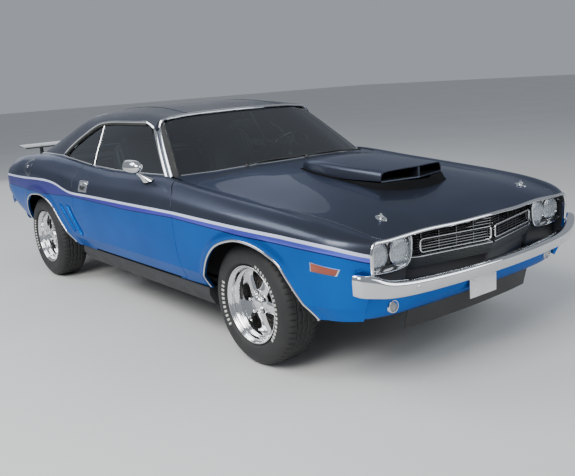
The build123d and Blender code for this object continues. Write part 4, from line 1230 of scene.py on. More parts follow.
# windshield pillars: painted bar under two bright strips
PIL_F, PIL_H = np.array([618, 765, 926.0]), np.array([222, 600, 1221.0])
PIL_N = np.array([0.36, 0.80, 0.48])
PIL_N /= np.linalg.norm(PIL_N)
PIL_U = np.linspace(-0.05, 1, 27)
PILLAR = np.array([PIL_F * (1 - s) + PIL_H * s + PIL_N * 9.0 * math.sin(s * math.pi) for s in PIL_U])
bar = Mesh()
bar.ribbon(PILLAR, PIL_N, [(-27, -22), (-30, -4), (-24, 2), (24, 2), (30, -4), (27, -22)])
bar.mirror()
bar.obj("windshield_pillars", DARK, "body", slot="dark_paint")


def dome(w, h, base=-2.0):
    return [(-w / 2, base), (-w / 2, h * 0.45), (-w * 0.3, h * 0.9), (0, h), (w * 0.3, h * 0.9), (w / 2, h * 0.45), (w / 2, base)]


pil_t = (PIL_H - PIL_F) / np.linalg.norm(PIL_H - PIL_F)
pil_s = np.cross(pil_t, PIL_N)      # towards the rear of the car on the left side
if pil_s[0] > 0:
    pil_s = -pil_s
drip = Mesh()
rail_x = WIN_C[(WIN_C[:, 0] < 150) & (WIN_C[:, 0] > -1004)]
rail_n = np.gradient(rail_x, axis=0)
rail_n = np.stack([rail_n[:, 1], -rail_n[:, 0]], 1)
rail_n /= np.linalg.norm(rail_n, axis=1, keepdims=True)
rail_n *= np.sign(rail_n[:, 1:2] + 1e-9)
rail_p = rail_x + rail_n * 7.0
rail = np.stack([rail_p[:, 0], gh_y(rail_p[:, 0], rail_p[:, 1]) + 2.0, rail_p[:, 1]], 1)
strip_a = PILLAR + pil_s * 16.5 + PIL_N * 2.0
drip.ribbon(strip_a[:-1], PIL_N, dome(25.0, 5.5, -5.0))
path = np.vstack([strip_a[-5:-1] + pil_s * 4.0, rail])
path = curve_through(path[::2], 14.0)
nr = np.zeros_like(path)
w_ = smoothstep(110, 230, path[:, 0])[:, None]
nr[:] = PIL_N * w_ + np.array([0, 0.86, 0.5]) * (1 - w_)
drip.ribbon(path, nr, dome(15.0, 7.0, -5.0))
drip.mirror()
drip.obj("drip_rails", CHROME, "body", slot="chrome")
gasket = Mesh()
inner = rail_x - rail_n * 5.0
g_path = np.stack([inner[:, 0], gh_y(inner[:, 0], inner[:, 1]) - 6.0, inner[:, 1]], 1)
gasket.ribbon(g_path, (0, 0.86, 0.5), dome(20.0, 5.0, -8.0))
gasket.mirror()
gasket.obj("window_seals", GASKET, "body", slot="black_plastic")

reveal = Mesh()
strip_b = PILLAR - pil_s * 16.5 + PIL_N * 2.0
reveal.ribbon(strip_b[:-1], PIL_N, dome(24.0, 5.5, -5.0))
reveal.mirror()
edge_b = np.array([ws_foot[-1] * (1 - s) + ws_head[-1] * s + np.array([0.75, 0, 0.66]) * 7.0 * max(0.0, math.sin(s * math.pi)) for s in PIL_U])
band = Mesh()
b_out, b_in = PILLAR - pil_s * 27.0, edge_b + np.array([2.0, -7.0, 3.0])
band.grid(np.stack([b_out, b_in, b_in - PIL_N * 9.0, b_out - PIL_N * 14.0], 1), close_v=True)
band.mirror()
band.obj("windshield_side_seals", GASKET, "body", slot="black_plastic")
head_line = ws_head[::2] + np.array([6.0, 0, 7.5])
head_line = head_line[(np.abs(head_line[:, 1]) < 520)]
left_b = np.vstack([strip_b[-6:-3] - pil_s * 2.0, [(278, 604, 1222), (281, 594, 1236), (285, 575, 1245), (288, 550, 1250.5)]])
right_b = left_b * [1, -1, 1]
path = np.vstack([right_b, head_line, left_b[::-1]])
path = curve_through(path[::1], 14.0)
k = smoothstep(500, 600, np.abs(path[:, 1]))[:, None]
side_n = np.stack([np.full(len(path), PIL_N[0]), PIL_N[1] * np.sign(path[:, 1]), np.full(len(path), PIL_N[2])], 1)
nr = side_n * k + np.array([0.6, 0, 0.8]) * (1 - k)
reveal.ribbon(path, nr, dome(19.0, 6.5, -5.0))
foot_line = ws_foot[2:-2] + np.array([6.0, 0, 4.0])
foot_line[:, 2] = np.maximum(foot_line[:, 2], top_z(foot_line[:, 0], foot_line[:, 1]) + 1.0)
reveal.ribbon(foot_line, (0.35, 0, 0.94), dome(12.0, 4.0, -4.0))
reveal.obj("windshield_mouldings", CHROME, "body", slot="chrome")

rear_trim = Mesh()
rs_x = np.linspace(-1560, -1030, 10)
rs_y = np.interp(rs_x, [-1600, -1400, -1150, -1010], [556, 534, 512, 500]) - 2.0
rs_c = section_curve(controls(GH_F, 4, rs_x), np.linspace(1, 4, 160), ())
rs_z = np.array([np.interp(yy, c[::-1, 0], c[::-1, 1]) for yy, c in zip(rs_y, rs_c)]) + 1.0
rs_z = np.maximum(rs_z, np.interp(rs_x, [-1618, -962], [966, 1244]) + 11.0)
rear_side = np.stack([rs_x, rs_y, rs_z], 1)
rw_path = np.vstack([rw_foot[::-1][2:-2] + [-4, 0, 4], rear_side * [1, -1, 1], rw_head[3:-3] + [4, 0, 8], rear_side[::-1]])
rw_path = curve_through(rw_path[::1], 16.0, closed=True)
rear_trim.ribbon(rw_path, (-0.42, 0, 0.9), dome(16.0, 5.0, -4.0), closed=True)
rear_trim.obj("rear_window_moulding", CHROME, "body", slot="chrome")

# side glass: follows the greenhouse, a little inboard
def side_pane(outline, inset=13.0, step=16.0):
    poly = curve_through(outline, 10.0, closed=True, corners=tuple(range(len(outline))))
    xs = np.arange(poly[:, 0].min(), poly[:, 0].max() + step, step)
    zs = np.arange(poly[:, 1].min(), poly[:, 1].max() + step, step)
    g = np.zeros((len(xs), len(zs), 3))
    for j, z in enumerate(zs):
        g[:, j, 0] = xs
        g[:, j, 1] = gh_y(xs, np.full(len(xs), z), inset)
        g[:, j, 2] = z
    p = grid_patch(g, flip=True)
    p.clip(lambda v: -sdf(xz(v), poly))
    p.fold(4.5, 0.8)
    return p


DOOR_PANE = [(592, 905), (547, 946), (204, 1199), (150, 1214), (-470, 1212), (-440, 905)]
QUARTER_PANE = [(-450, 905), (-482, 1208), (-560, 1194), (-700, 1143), (-860, 1066), (-975, 985), (-980, 905)]
dp, qp = side_pane(DOOR_PANE), side_pane(QUARTER_PANE, 17.0)
for s_, d_, q_ in (("left", dp, qp), ("right", dp.mirrored(), qp.mirrored())):
    patch_object("door_window_" + s_, d_, GLASS, "door_" + s_, slot="glass", replaces=["door_glass_" + s_])
    patch_object("quarter_window_" + s_, q_, GLASS, "body", slot="glass", replaces=["quarter_glass"])
frames = Mesh()
zz = np.linspace(925, 1206, 14)
xx = np.interp(zz, [905, 1208], [-452, -484])
frames.ribbon(np.stack([xx, gh_y(xx, zz, 12.0), zz], 1), (0, 0.88, 0.47), dome(11.0, 5.0, -5.0))
frames.ribbon(np.stack([xx, gh_y(xx, zz, 12.0), zz], 1), (0, 0.88, 0.47), [(-8, -9), (-8, 1.5), (8, 1.5), (8, -9)], m=1)
frames.mirror()
frames.obj("quarter_window_frames", [CHROME, GASKET], "body", slot="chrome")
belts = {"left": Mesh(), "right": Mesh()}
bx = np.linspace(585, -440, 60)
by = np.array([gh_y([x], [932.0], 2.0)[0] for x in bx])
bz = np.interp(bx, [-440, -100, 300, 650], [935, 922, 923, 931])
for s_, sg in (("left", 1), ("right", -1)):
    belts[s_].ribbon(np.stack([bx, sg * (by + 6), bz + 1.0], 1), (0, sg * 0.5, 0.86), dome(13.0, 5.0, -6.0))
    belts[s_].ribbon(np.stack([bx, sg * (by - 5), bz - 2.0], 1), (0, sg * 0.3, 0.95), dome(14.0, 3.0, -12.0), m=1)
    belts[s_].obj("belt_moulding_" + s_, [CHROME, GASKET], "door_" + s_, slot="chrome")
qb = Mesh()
qx = np.linspace(-462, -1010, 40)
qz = np.interp(qx, [-1010, -700, -450], [981, 957, 938])
qy = gh_y(qx, qz - 4.0, -3.0)
qb.ribbon(np.stack([qx, qy + 3, qz + 1.5], 1), (0, 0.5, 0.86), dome(12.0, 4.5, -6.0), m=0)
qb.mirror()
qb.obj("quarter_belt_moulding", [CHROME], "body", slot="chrome")

# vinyl base moulding along the rear pillar's foot
base = Mesh()
px_ = np.linspace(-1016, -1672, 40)
tt_ = np.linspace(4.6, 7.4, 200)
pts_ = []
for x in px_:
    b = section_curve(controls(BODY_F, 8, np.array([x])), tt_, (1, 3))[0]
    gsec = section_curve(controls(GH_F, 4, np.array([x])), np.linspace(0, 2.2, 160), ())[0]
    gy = np.interp(b[:, 1], gsec[:, 1], gsec[:, 0])
    dlt = b[:, 0] - gy
    kk = np.argmax(dlt < 0) if (dlt < 0).any() else len(dlt) - 1
    pts_.append((x, b[kk, 0], b[kk, 1]))
pts_ = np.array(pts_)
base.ribbon(pts_ + [0, 2.5, 2.5], (0, 0.6, 0.8), dome(11.0, 4.0, -5.0))
fy = np.linspace(562, 690, 12)
fc = section_curve(controls(GH_F, 4, np.array([-1668.0])), np.linspace(0.3, 4, 200), ())[0]
base.ribbon(np.stack([np.full(12, -1669.0), fy, np.interp(fy, fc[::-1, 0], fc[::-1, 1]) - 2.0], 1), (-0.6, 0, 0.8), dome(13.0, 3.5, -9.0))
base.mirror()
base.obj("vinyl_base_moulding", CHROME, "body", slot="chrome")


# =====================================================================
# Wheels and tyres
# =====================================================================
# outer lip to the inner lip: radius, depth from the outer lip plane
RIM_PROFILE = [(203, 19), (208, 14), (209, 4), (208, 1.2), (205.5, 0.2), (203, 1.0), (201, 4), (198.5, 8), (193, 12), (190, 16), (188.8, 22),
               (188, 34), (186.5, 40), (182, 44.5), (177, 48), (174.5, 54), (173.5, 70), (172, 84), (171, 120), (171, 140), (180, 158), (187, 170),
               (189, 184), (200, 190), (206, 194), (208, 200)]
SPOKE_R = [40, 52, 62, 76, 92, 110, 128, 142, 153, 161, 167, 172, 175]
SPOKE_W = [24, 30.5, 33, 33, 31.5, 31.5, 34, 38, 44, 52, 62, 78, 96]
SPOKE_D = [57, 56, 56, 58, 62, 66, 69, 71, 72, 72.5, 72.5, 72, 71]


def wheel_points(r, d, a, lip_y, side, x0):
    """World points from radius, depth and angle (from forward, up)."""
    r, d, a = np.broadcast_arrays(np.asarray(r, float), np.asarray(d, float), np.asarray(a, float))
    return np.stack([x0 + r * np.cos(a), side * (lip_y - d), HUB_Z + r * np.sin(a)], -1)


def rim_mesh(lip_y, side, x0, phase):
    m = Mesh()
    a = np.linspace(0, 2 * math.pi, 97)[:-1]
    prof = curve_through(RIM_PROFILE, 7.0, corners=(5, 9, 12))
    g = wheel_points(prof[None, :, 0], prof[None, :, 1], a[:, None], lip_y, side, x0)
    m.grid(g, 0, close_u=True)
    across = np.concatenate([[-1.0, -1.0], np.linspace(-1, 1, 11), [1.0, 1.0]])
    for k in range(5):
        th = phase + k * 2 * math.pi / 5
        rows = []
        for r, w, d in zip(SPOKE_R, SPOKE_W, SPOKE_D):
            ang = np.clip(across * w / r, -math.pi / 5, math.pi / 5)
            lim = np.abs(across * w / r) > math.pi / 5
            dd = d + 7.0 * np.abs(across) ** 3
            dd = np.where(np.arange(len(across)) == 0, d + 34.0, dd)
            dd = np.where(np.arange(len(across)) == len(across) - 1, d + 34.0, dd)
            dd = np.where((np.arange(len(across)) == 1) | (np.arange(len(across)) == len(across) - 2), d + 11.0, dd)
            dd = np.where(lim, np.minimum(dd, d + 5.0), dd)
            rows.append(wheel_points(r, dd, th + ang, lip_y, side, x0))
        m.grid(np.array(rows), 0)
    # hub, nuts and cap
    def ring(profile, mat, cx=0.0, cz=0.0, n=40):
        aa = np.linspace(0, 2 * math.pi, n + 1)[:-1]
        p = np.array(profile, float)
        g = np.stack([x0 + cx + p[None, :, 0] * np.cos(aa)[:, None], side * (lip_y - p[None, :, 1]) + 0 * aa[:, None],
                      HUB_Z + cz + p[None, :, 0] * np.sin(aa)[:, None]], -1)
        m.grid(g, mat, close_u=True)
    ring([(70, 74), (68, 60), (64, 56.5), (44, 55.5), (41, 53), (40, 47), (37.5, 42), (33, 38.5), (27, 36.8), (25, 38.0), (19, 36.2), (10, 34.2), (0.4, 33.6)], 0)
    for k in range(5):
        th = phase + (k + 0.5) * 2 * math.pi / 5
        ring([(10.5, 60), (10.5, 50), (9.8, 48.5), (9.2, 38), (7.5, 34.5), (3.0, 32.5), (0.3, 32.2)], 0, 55 * math.cos(th), 55 * math.sin(th), 6)
        ring([(14, 57), (13.5, 54.5), (10.5, 54.0)], 1, 55 * math.cos(th), 55 * math.sin(th), 18)
    # brake drum and the dark space behind the spokes
    ring([(168, 150), (150, 128), (140, 104), (136, 100), (100, 98), (60, 96), (30, 96)], 2, n=60)
    for r in (80, 104, 128):
        ring([(r + 4, 99), (r + 3, 95.5), (r - 3, 95.5), (r - 4, 99)], 2, n=60)
    # valve stem
    va = phase + 0.5
    stem = wheel_points(np.array([181, 183.5, 185]), np.array([46, 36, 28]), np.array([va, va, va]), lip_y, side, x0)
    m.tube(stem, [3.6, 3.2, 2.6], m=1, n=10)
    return m


def tyre_profile(w):
    half = [(200, 21), (205, 15.5), (209, 12.5), (213, 9), (217, 4), (222, -w * 0.50), (228, -w * 0.74), (236, -w * 0.90), (246, -w * 0.99), (256, -w),
            (268, -w * 0.93), (279, -w * 0.74), (289, -w * 0.42), (298, -w * 0.02), (305, 4.4), (311, 9.6), (316, 15.0), (319.5, 20.5), (321.8, 27), (323.2, 34),
            (324.2, 42)]
    tread = [(324.8, d) for d in np.arange(48, 101, 3.5)]
    a = half + tread
    b = [(r, 200 - d) for r, d in reversed(a)]
    return np.array(a + b)


def tyre_mesh(lip_y, side, x0, w, arcs):
    m = Mesh()
    n = 300
    a = np.arange(n) * 2 * math.pi / n
    prof = tyre_profile(w)
    r = np.repeat(prof[None, :, 0], n, 0)
    d = np.repeat(prof[None, :, 1], n, 0)
    c = d - 100.0
    aa = a[:, None]
    tread = smoothstep(300.0, 318.0, r)
    zig = 4.0 * (2 * np.abs(((aa * 30 / math.pi) % 2) - 1) - 1)
    groove = np.zeros_like(r)
    for pos in (-44.0, -16.0, 16.0, 44.0):
        groove = np.maximum(groove, 1 - smoothstep(2.6, 4.6, np.abs(c - pos - zig)))
    pitch = (np.arange(n) % 5)[:, None]
    shoulder = smoothstep(50, 56, np.abs(c)) * (1 - smoothstep(84, 92, np.abs(c)))
    lug = np.where((pitch == 0) & (c > 0) | (pitch == 2) & (c < 0), 1.0, 0.0) * shoulder
    block = np.where((np.arange(n) % 10 == 4)[:, None] & (np.abs(c) < 40), 0.6, 0.0)
    r = r - 6.0 * tread * np.maximum(np.maximum(groove, lug), block)
    # moulded rings on the sidewalls
    for rr in (221.5, 262.0, 300.0):
        rise = 0.9 * (1 - smoothstep(0.6, 2.6, np.abs(prof[None, :, 0] - rr)))
        d = d - np.sign(100.0 - d) * rise * (1 - tread)
    g = wheel_points(r, d, aa, lip_y, side, x0)
    m.grid(g, 0, close_u=True)
    # inner face of the beads
    bead = np.array([(200, 21), (194, 26), (190, 34)])
    m.grid(wheel_points(bead[None, :, 0], bead[None, :, 1], aa, lip_y, side, x0), 0, close_u=True)
    m.grid(wheel_points(bead[None, :, 0], 200 - bead[None, :, 1], aa, lip_y, side, x0), 0, close_u=True)
    # plain raised light blocks in arcs round the sidewall
    out = prof[:24]
    rr_ = np.array([225.5, 226.5, 235.0, 243.5, 244.5])
    for a0, a1 in arcs:
        count = int(round(abs(a1 - a0) / 5.6))
        for k in range(count):
            mid = math.radians(a0 + (k + 0.5) * (a1 - a0) / count)
            half = math.radians(1.55)
            ang = mid + np.array([-half, -half * 0.9, 0, half * 0.9, half])
            dep = np.interp(rr_, out[:, 0], out[:, 1])
            rise = np.array([-0.6, 1.3, 1.3, 1.3, -0.6])
            lift = np.minimum(rise[:, None], np.array([-0.6, 1.3, 1.3, 1.3, -0.6])[None, :])
            blk = wheel_points(rr_[:, None], dep[:, None] - lift, ang[None, :], lip_y, side, x0)
            m.grid(blk, 1)
    return m


FRONT_ARCS = [(70, -40), (156, 220)]
for name, x0, lip, side, w, ph in (("front_left", FRONT_AXLE_X, 854.0, 1, 12, 61.0), ("front_right", FRONT_AXLE_X, 854.0, -1, 12, 61.0),
                                   ("rear_left", REAR_AXLE_X, 879.0, 1, 14, 25.0), ("rear_right", REAR_AXLE_X, 879.0, -1, 14, 40.0)):
    body = "wheel_" + name
    rim_mesh(lip, side, x0, math.radians(ph)).obj("wheel_rim_" + name, [POLISHED, BLACK, DRUM], body, sharp=42.0, slot="polished_rim", replaces=["rim_" + name])
    tyre_mesh(lip, side, x0, w, FRONT_ARCS if name.startswith("front") else [(64, -30), (150, 214)]).obj(
        "tyre_body_" + name, [RUBBER, WHITE_MARK], body, sharp=50.0, slot="tyre", replaces=["tyre_" + name])


# =====================================================================
# Front end
# =====================================================================
def xg(y):
    """Grille face: a shallow V, most forward on the centre line."""
    y = np.abs(np.asarray(y, float))
    return np.where(y < 432, 2371.0 - 0.212 * y, 2279.4 - 24.0 * smoothstep(432, 476, y))


# bright trim round the nose opening
ny_ = np.linspace(0, 676, 44)
top_part = np.stack([nose_x(ny_) + 1.5, ny_, top_z(nose_x(ny_), ny_) - 7.0], 1)
ez = np.linspace(722, 592, 18)
side_part = np.stack([front_edge(ez) + 1.5, side_y(front_edge(ez), ez) - 3.0, ez], 1)
corner = np.array([[2297, 706, 738], [2298, 730, 733.5]])
half_trim = np.vstack([top_part, corner, side_part])
trim_path = np.vstack([half_trim[::-1] * [1, -1, 1], half_trim[1:]])
trim_path = curve_through(trim_path[::2], 9.0)
out_n = np.stack([np.full(len(trim_path), 0.80), np.sign(trim_path[:, 1]) * 0.75 * smoothstep(660, 745, np.abs(trim_path[:, 1])),
                  0.6 * (1 - smoothstep(690, 750, np.abs(trim_path[:, 1]))) + 0.02], 1)
out_n /= np.linalg.norm(out_n, axis=1, keepdims=True)
nose_trim = Mesh()
nose_trim.ribbon(trim_path, out_n, dome(15.0, 6.0, -6.0))
nose_trim.obj("nose_moulding", CHROME, "body", slot="chrome")

# black surround from the trim back to the grille
surround = Mesh()
ring_out, ring_in = [], []
for p, q in zip(trim_path, out_n):
    y = p[1]
    ring_out.append(p - q * 3.0 - [0, np.sign(y) * 4.0 * smoothstep(660, 745, abs(y)), 5.0 * (1 - smoothstep(690, 750, abs(y)))])
    ring_in.append([2236.0 if abs(y) > 470 else float(xg(y)) - 42.0, y * (0.985 if abs(y) > 600 else 1.0), p[2] - 9.0 * (1 - smoothstep(640, 740, abs(y)))])
ring_out, ring_in = np.array(ring_out), np.array(ring_in)
surround.grid(np.stack([ring_out, (ring_out + ring_in) / 2, ring_in]), 0)
# back wall and lower apron behind the bumper
yb = np.linspace(-744, 744, 90)
wall = np.stack([np.stack([np.where(np.abs(yb) > 474, 2240.0, xg(yb) - 40.0), yb, np.full(90, z)], 1) for z in (745, 680, 610, 560, 500, 470)])
wall[0, :, 2] = np.minimum(745, top_z(np.full(90, 2236.0), yb) - 12)
wall[4:, :, 0] -= 8
surround.grid(wall, 0)
for sgn in (1, -1):
    zc = np.linspace(606, 476, 14)
    xc = front_edge(zc) - 3.0
    yc = side_y(xc, zc) - 4.0
    cols = [np.stack([xc, sgn * yc, zc], 1), np.stack([xc - 22, sgn * (yc - 6), zc], 1), np.stack([np.full(14, 2238.0), sgn * (yc - 14), zc], 1),
            np.stack([np.full(14, 2232.0), sgn * np.full(14, 640.0), zc], 1)]
    surround.grid(np.array(cols), 0)
surround.obj("nose_surround", BLACK, "body", slot="black_plastic", replaces=["grille"])

# ridged lower panel
ridge = Mesh()
yr = np.concatenate([-np.linspace(742, 0, 60), np.linspace(0, 742, 60)[1:]])
rows = []
for i in range(41):
    k = i / 40
    z = 612 - 54 * k
    wave = 2.2 * abs(math.sin(k * math.pi * 5.5))
    rows.append(np.stack([xg(yr) + 2.0 - 26.0 * k - wave + np.where(np.abs(yr) > 474, 4.0, 0.0), yr, np.full(len(yr), z)], 1))
ridge.grid(np.array(rows), 0)
ridge.obj("lower_grille_panel", SATIN_GREY, "body", slot="black_plastic")

# grille bars, bright loops and strip
bars = Mesh()
yv = np.concatenate([-np.linspace(470, 0, 26), np.linspace(0, 470, 26)[1:]])
for z in np.arange(621.0, 735.0, 12.5):
    path = np.stack([xg(yv) - 14.0, yv, np.full(len(yv), z)], 1)
    bars.ribbon(path, (0, 0, 1), [(-9, -1.6), (-9, 1.6), (8, 1.9), (9.5, 0), (8, -1.9)])
for y in np.arange(-400.0, 401.0, 100.0):
    x = float(xg(y)) - 24.0
    bars.box((x - 5, y - 2, 610), (x + 5, y + 2, 738), 0)
bars.obj("grille_bars", BLACK_GLOSS, "body", sharp=30.0, slot="black_plastic")


def loop_points(y0, y1, z0, z1, r, lift):
    out = []
    for cy, cz, a0 in ((y1 - r, z1 - r, 0), (y0 + r, z1 - r, 90), (y0 + r, z0 + r, 180), (y1 - r, z0 + r, 270)):
        for k in range(7):
            a = math.radians(a0 + 15 * k)
            out.append((cy + r * math.cos(a), cz + r * math.sin(a)))
    q = []
    for i, (a, b) in enumerate(zip(out, out[1:] + out[:1])):
        n = max(1, int(math.dist(a, b) / 18))
        q += [(a[0] + (b[0] - a[0]) * j / n, a[1] + (b[1] - a[1]) * j / n) for j in range(n)]
    q = np.array(q)
    return np.stack([xg(q[:, 0]) + lift, q[:, 0], q[:, 1]], 1)


loops = Mesh()
for s in (1, -1):
    y0, y1 = (16, 424) if s > 0 else (-424, -16)
    loops.ribbon(loop_points(y0, y1, 634, 696, 15, 1.0), (1, 0, 0), dome(6.0, 4.0, -7.0), closed=True)
    loops.ribbon(loop_points(y0 + 12, y1 - 12, 645, 685, 9, -9.0), (1, 0, 0), dome(5.0, 3.0, -8.0), m=1, closed=True)
    ys = np.linspace(8, 466, 30) * s
    loops.ribbon(np.stack([xg(ys) + 2.0, ys, np.full(30, 616.5)], 1), (1, 0, 0), dome(6.0, 3.5, -6.0))
loops.obj("grille_mouldings", [CHROME, BLACK_GLOSS], "body", slot="chrome")

# lamp housings
housing = Mesh()
BEZEL = [(740, 600), (660, 586), (560, 584), (502, 594), (480, 622), (472, 668), (478, 722), (600, 727), (690, 722), (742, 700)]
for s in (1, -1):
    poly = curve_through([(s * y, z) for y, z in BEZEL], 9.0, closed=True)
    c = poly.mean(0)
    rows = []
    for k, x in ((1.0, 2272.0), (0.985, 2270.0), (0.965, 2262.0), (0.955, 2252.0), (0.9, 2251.0), (0.5, 2251.0), (0.02, 2251.0)):
        q = c + (poly - c) * k
        rows.append(np.stack([np.full(len(q), x) - 8.0 * smoothstep(640, 745, np.abs(q[:, 0])), q[:, 0], q[:, 1]], 1))
    housing.grid(np.array(rows), 0, close_v=True)
    edge = rows[0] + np.array([0, 0, 0])
    housing.ribbon(edge, (1, 0, 0), dome(7.0, 4.0, -7.0), m=1, closed=True)
housing.obj("lamp_housings", [SILVER, CHROME], "body", slot="polished_rim")
lampm = Mesh()
glass_m = Mesh()
for cy in (-672, -535, 535, 672):
    x = 2262.0 if abs(cy) < 600 else 2256.0
    ctr = (0, cy, 657)
    # the black ring between the housing and each lamp's chrome rim is painted shade in the gap round the lamp
    lampm.lathe([(78, 2251.6), (77.5, 2253.6), (75, 2254.2), (68, 2253.0), (67.0, x - 8)], ctr, "x", 56, 1)
    lampm.lathe([(67.0, x - 8), (66.0, x - 3), (64.5, x - 1.5), (62, x - 1), (60, x - 5)], ctr, "x", 56, 0)
    lampm.lathe([(60, x - 5), (54, x - 16), (44, x - 27), (30, x - 37), (16, x - 43), (4, x - 45)], ctr, "x", 56, 2)
    lampm.lathe([(9, x - 43), (8.5, x - 24), (5, x - 20), (0.5, x - 19)], ctr, "x", 20, 0)
    glass_m.lathe([(60.5, x - 4.5), (59.5, x - 1.5), (52, x + 2.2), (40, x + 5.2), (24, x + 7.4), (10, x + 8.4), (0.4, x + 8.6)], ctr, "x", 56, 0)
lampm.obj("headlamp_bowls", [CHROME, BLACK, SILVER], "body", slot="chrome", replaces=["headlamps"])
glass_m.obj("headlamp_glass", HEADLAMP, "body", slot="lamp_glass")


# bumpers
def bumper_grid(table, sign_x, profile_n=1):
    rows = [(r[0], -r[1], r[2], -r[3], r[4], r[5]) for r in reversed(table[1:])] + [tuple(r) for r in table]
    c = columns_curve(rows, (len(rows) - 1) * 9 + 1)
    out = []
    for xo, yo, xi, yi, z0, z1 in c:
        d = np.array([xo - xi, yo - yi])
        n = np.hypot(*d)
        d /= n
        h = z1 - z0
        prof = [(0.0, 0.97), (0.25, 1.0), (0.60, 0.985), (0.82, 0.935), (0.93, 0.875), (0.985, 0.80), (1.0, 0.72), (0.985, 0.63), (0.93, 0.47), (0.86, 0.29),
                (0.79, 0.14), (0.72, 0.05), (0.62, 0.01), (0.45, 0.0), (0.2, 0.0), (0.0, 0.03), (-0.02, 0.5)]
        out.append([(xi + d[0] * n * a, yi + d[1] * n * a, z0 + h * b) for a, b in prof])
    return np.array(out)


FRONT_BUMPER = [
    (2430, 0, 2388, 0, 482, 548), (2420, 300, 2378, 296, 482, 549), (2396, 550, 2354, 540, 484, 556), (2368, 690, 2328, 674, 490, 570),
    (2342, 770, 2306, 748, 502, 600), (2308, 826, 2284, 802, 512, 614), (2268, 842, 2254, 822, 520, 612),
]
REAR_BUMPER = [
    (-2430, 0, -2392, 0, 500, 585), (-2427, 300, -2389, 298, 500, 585), (-2415, 540, -2379, 532, 500, 587),
    (-2390, 690, -2361, 676, 501, 590), (-2340, 778, -2322, 764, 503, 592), (-2230, 822, -2228, 806, 505, 590),
]
for nm, tb in (("front", FRONT_BUMPER), ("rear", REAR_BUMPER)):
    g = bumper_grid(tb, 1)
    b = Mesh()
    b.grid(g, 0, close_v=True)
    for e in (g[0], g[-1]):
        c = e.mean(0)
        b.grid(np.stack([e, c + (e - c) * 0.5, c + (e - c) * 0.01]), 0, close_v=True)
    for yy in (-560, 560):
        xx = np.interp(abs(yy), [r[1] for r in tb], [r[0] for r in tb])
        sg = 1 if nm == "front" else -1
        zz = np.interp(abs(yy), [r[1] for r in tb], [(r[4] + r[5]) / 2 for r in tb])
        b.lathe([(0.4, xx * sg + 2.6), (7, xx * sg + 2.0), (10, xx * sg + 0.4), (10.5, xx * sg - 2)], (0, yy, zz), "x", 24, 0, side=sg)
    b.obj(nm + "_bumper_blade", CHROME, "body", sharp=28.0, slot="chrome", replaces=[nm + "_bumper"])

# valance under the bumper, with round lamps, chin panels and a blank plate
val = Mesh()
rows = [(2306, 0, 0), (2303, 200, 0), (2297, 400, 1), (2284, 580, 3), (2258, 690, 6), (2226, 742, 8)]
rows = [(x, -y, d) for x, y, d in reversed(rows[1:])] + rows
c = columns_curve(rows, 71)
g = np.array([[(x - 44, y, 482), (x - 8, y, 481), (x - 1, y, 474), (x, y, 462), (x - 3, y, 430), (x - 9, y, 404 + d), (x - 20, y, 380 + d), (x - 32, y, 367 + d),
               (x - 44, y, 363 + d), (x - 58, y, 366 + d)] for x, y, d in c])
val.grid(g, 0)
val.obj("front_valance_panel", BLUE, "body", slot="blue_paint", replaces=["front_valance"])
chin = Mesh()
cc_ = columns_curve([(2219, -474, 0), (2232, -360, 0), (2239, -240, 0), (2247, 0, 0), (2239, 240, 0), (2232, 360, 0), (2219, 474, 0)], 49)
chin.grid(np.array([[(x + 26, y, 372), (x + 8, y, 300), (x + 1, y, 268), (x - 4, y, 264), (x - 9, y, 268), (x - 2, y, 300), (x + 12, y, 372)] for x, y, _ in cc_]), 0, close_v=True)
for r in (0, -1):
    e_ = [(x + cc_[r][0], cc_[r][1], z) for x, z in ((26, 372), (8, 300), (1, 268), (-4, 264), (-9, 268), (-2, 300), (12, 372))]
    chin.add(e_, [tuple(range(7))], 0)
chin.obj("chin_panels", BLACK, "body", slot="black_plastic")
rl = Mesh()
for s in (1, -1):
    ctr = (0, s * 606, 420)
    rl.lathe([(30, 2252), (31, 2278), (29, 2281.5), (26, 2281), (25, 2275)], ctr, "x", 40, 0)
    rl.lathe([(25, 2275), (20, 2279), (10, 2281.5), (0.4, 2282)], ctr, "x", 40, 1)
rl.obj("valance_lamps", [CHROME, LAMP_LENS], "body", slot="lamp_glass")
plate = Mesh()
plate.box((2309, -104, 338), (2312, 104, 448), 0, 1.2)
pb = [(2313.2, y, z) for y, z in [(-97, 345), (97, 345), (97, 441), (-97, 441)]]
plate.ribbon(curve_through(pb, 6.0, closed=True, corners=(0, 1, 2, 3)), (1, 0, 0), [(-1.6, -2), (-1.2, 0.2), (1.2, 0.2), (1.6, -2)], closed=True)
plate.box((2296, -70, 425), (2309, 70, 440), 2)
for y in (-72, 72):
    plate.lathe([(7, 2311), (6.5, 2315), (3, 2316.5), (0.4, 2316.8)], (0, y, 430), "x", 18, 1)
plate.obj("front_plate", [PLATE, CHROME, BLACK], "body", sharp=30.0)

# =====================================================================
# Hood scoop, pins, wipers
# =====================================================================
SC = [(1912, 239, 954), (1855, 238, 957), (1600, 236, 968), (1300, 215, 978), (1100, 168, 962), (1010, 84, 934)]
SCX = np.array([r[0] for r in SC][::-1], float)
sc_c = columns_curve(SC, 80)[::-1]


def scoop_w(x):
    return np.interp(x, sc_c[:, 0], sc_c[:, 1])


def scoop_z(x):
    return np.interp(x, sc_c[:, 0], sc_c[:, 2])


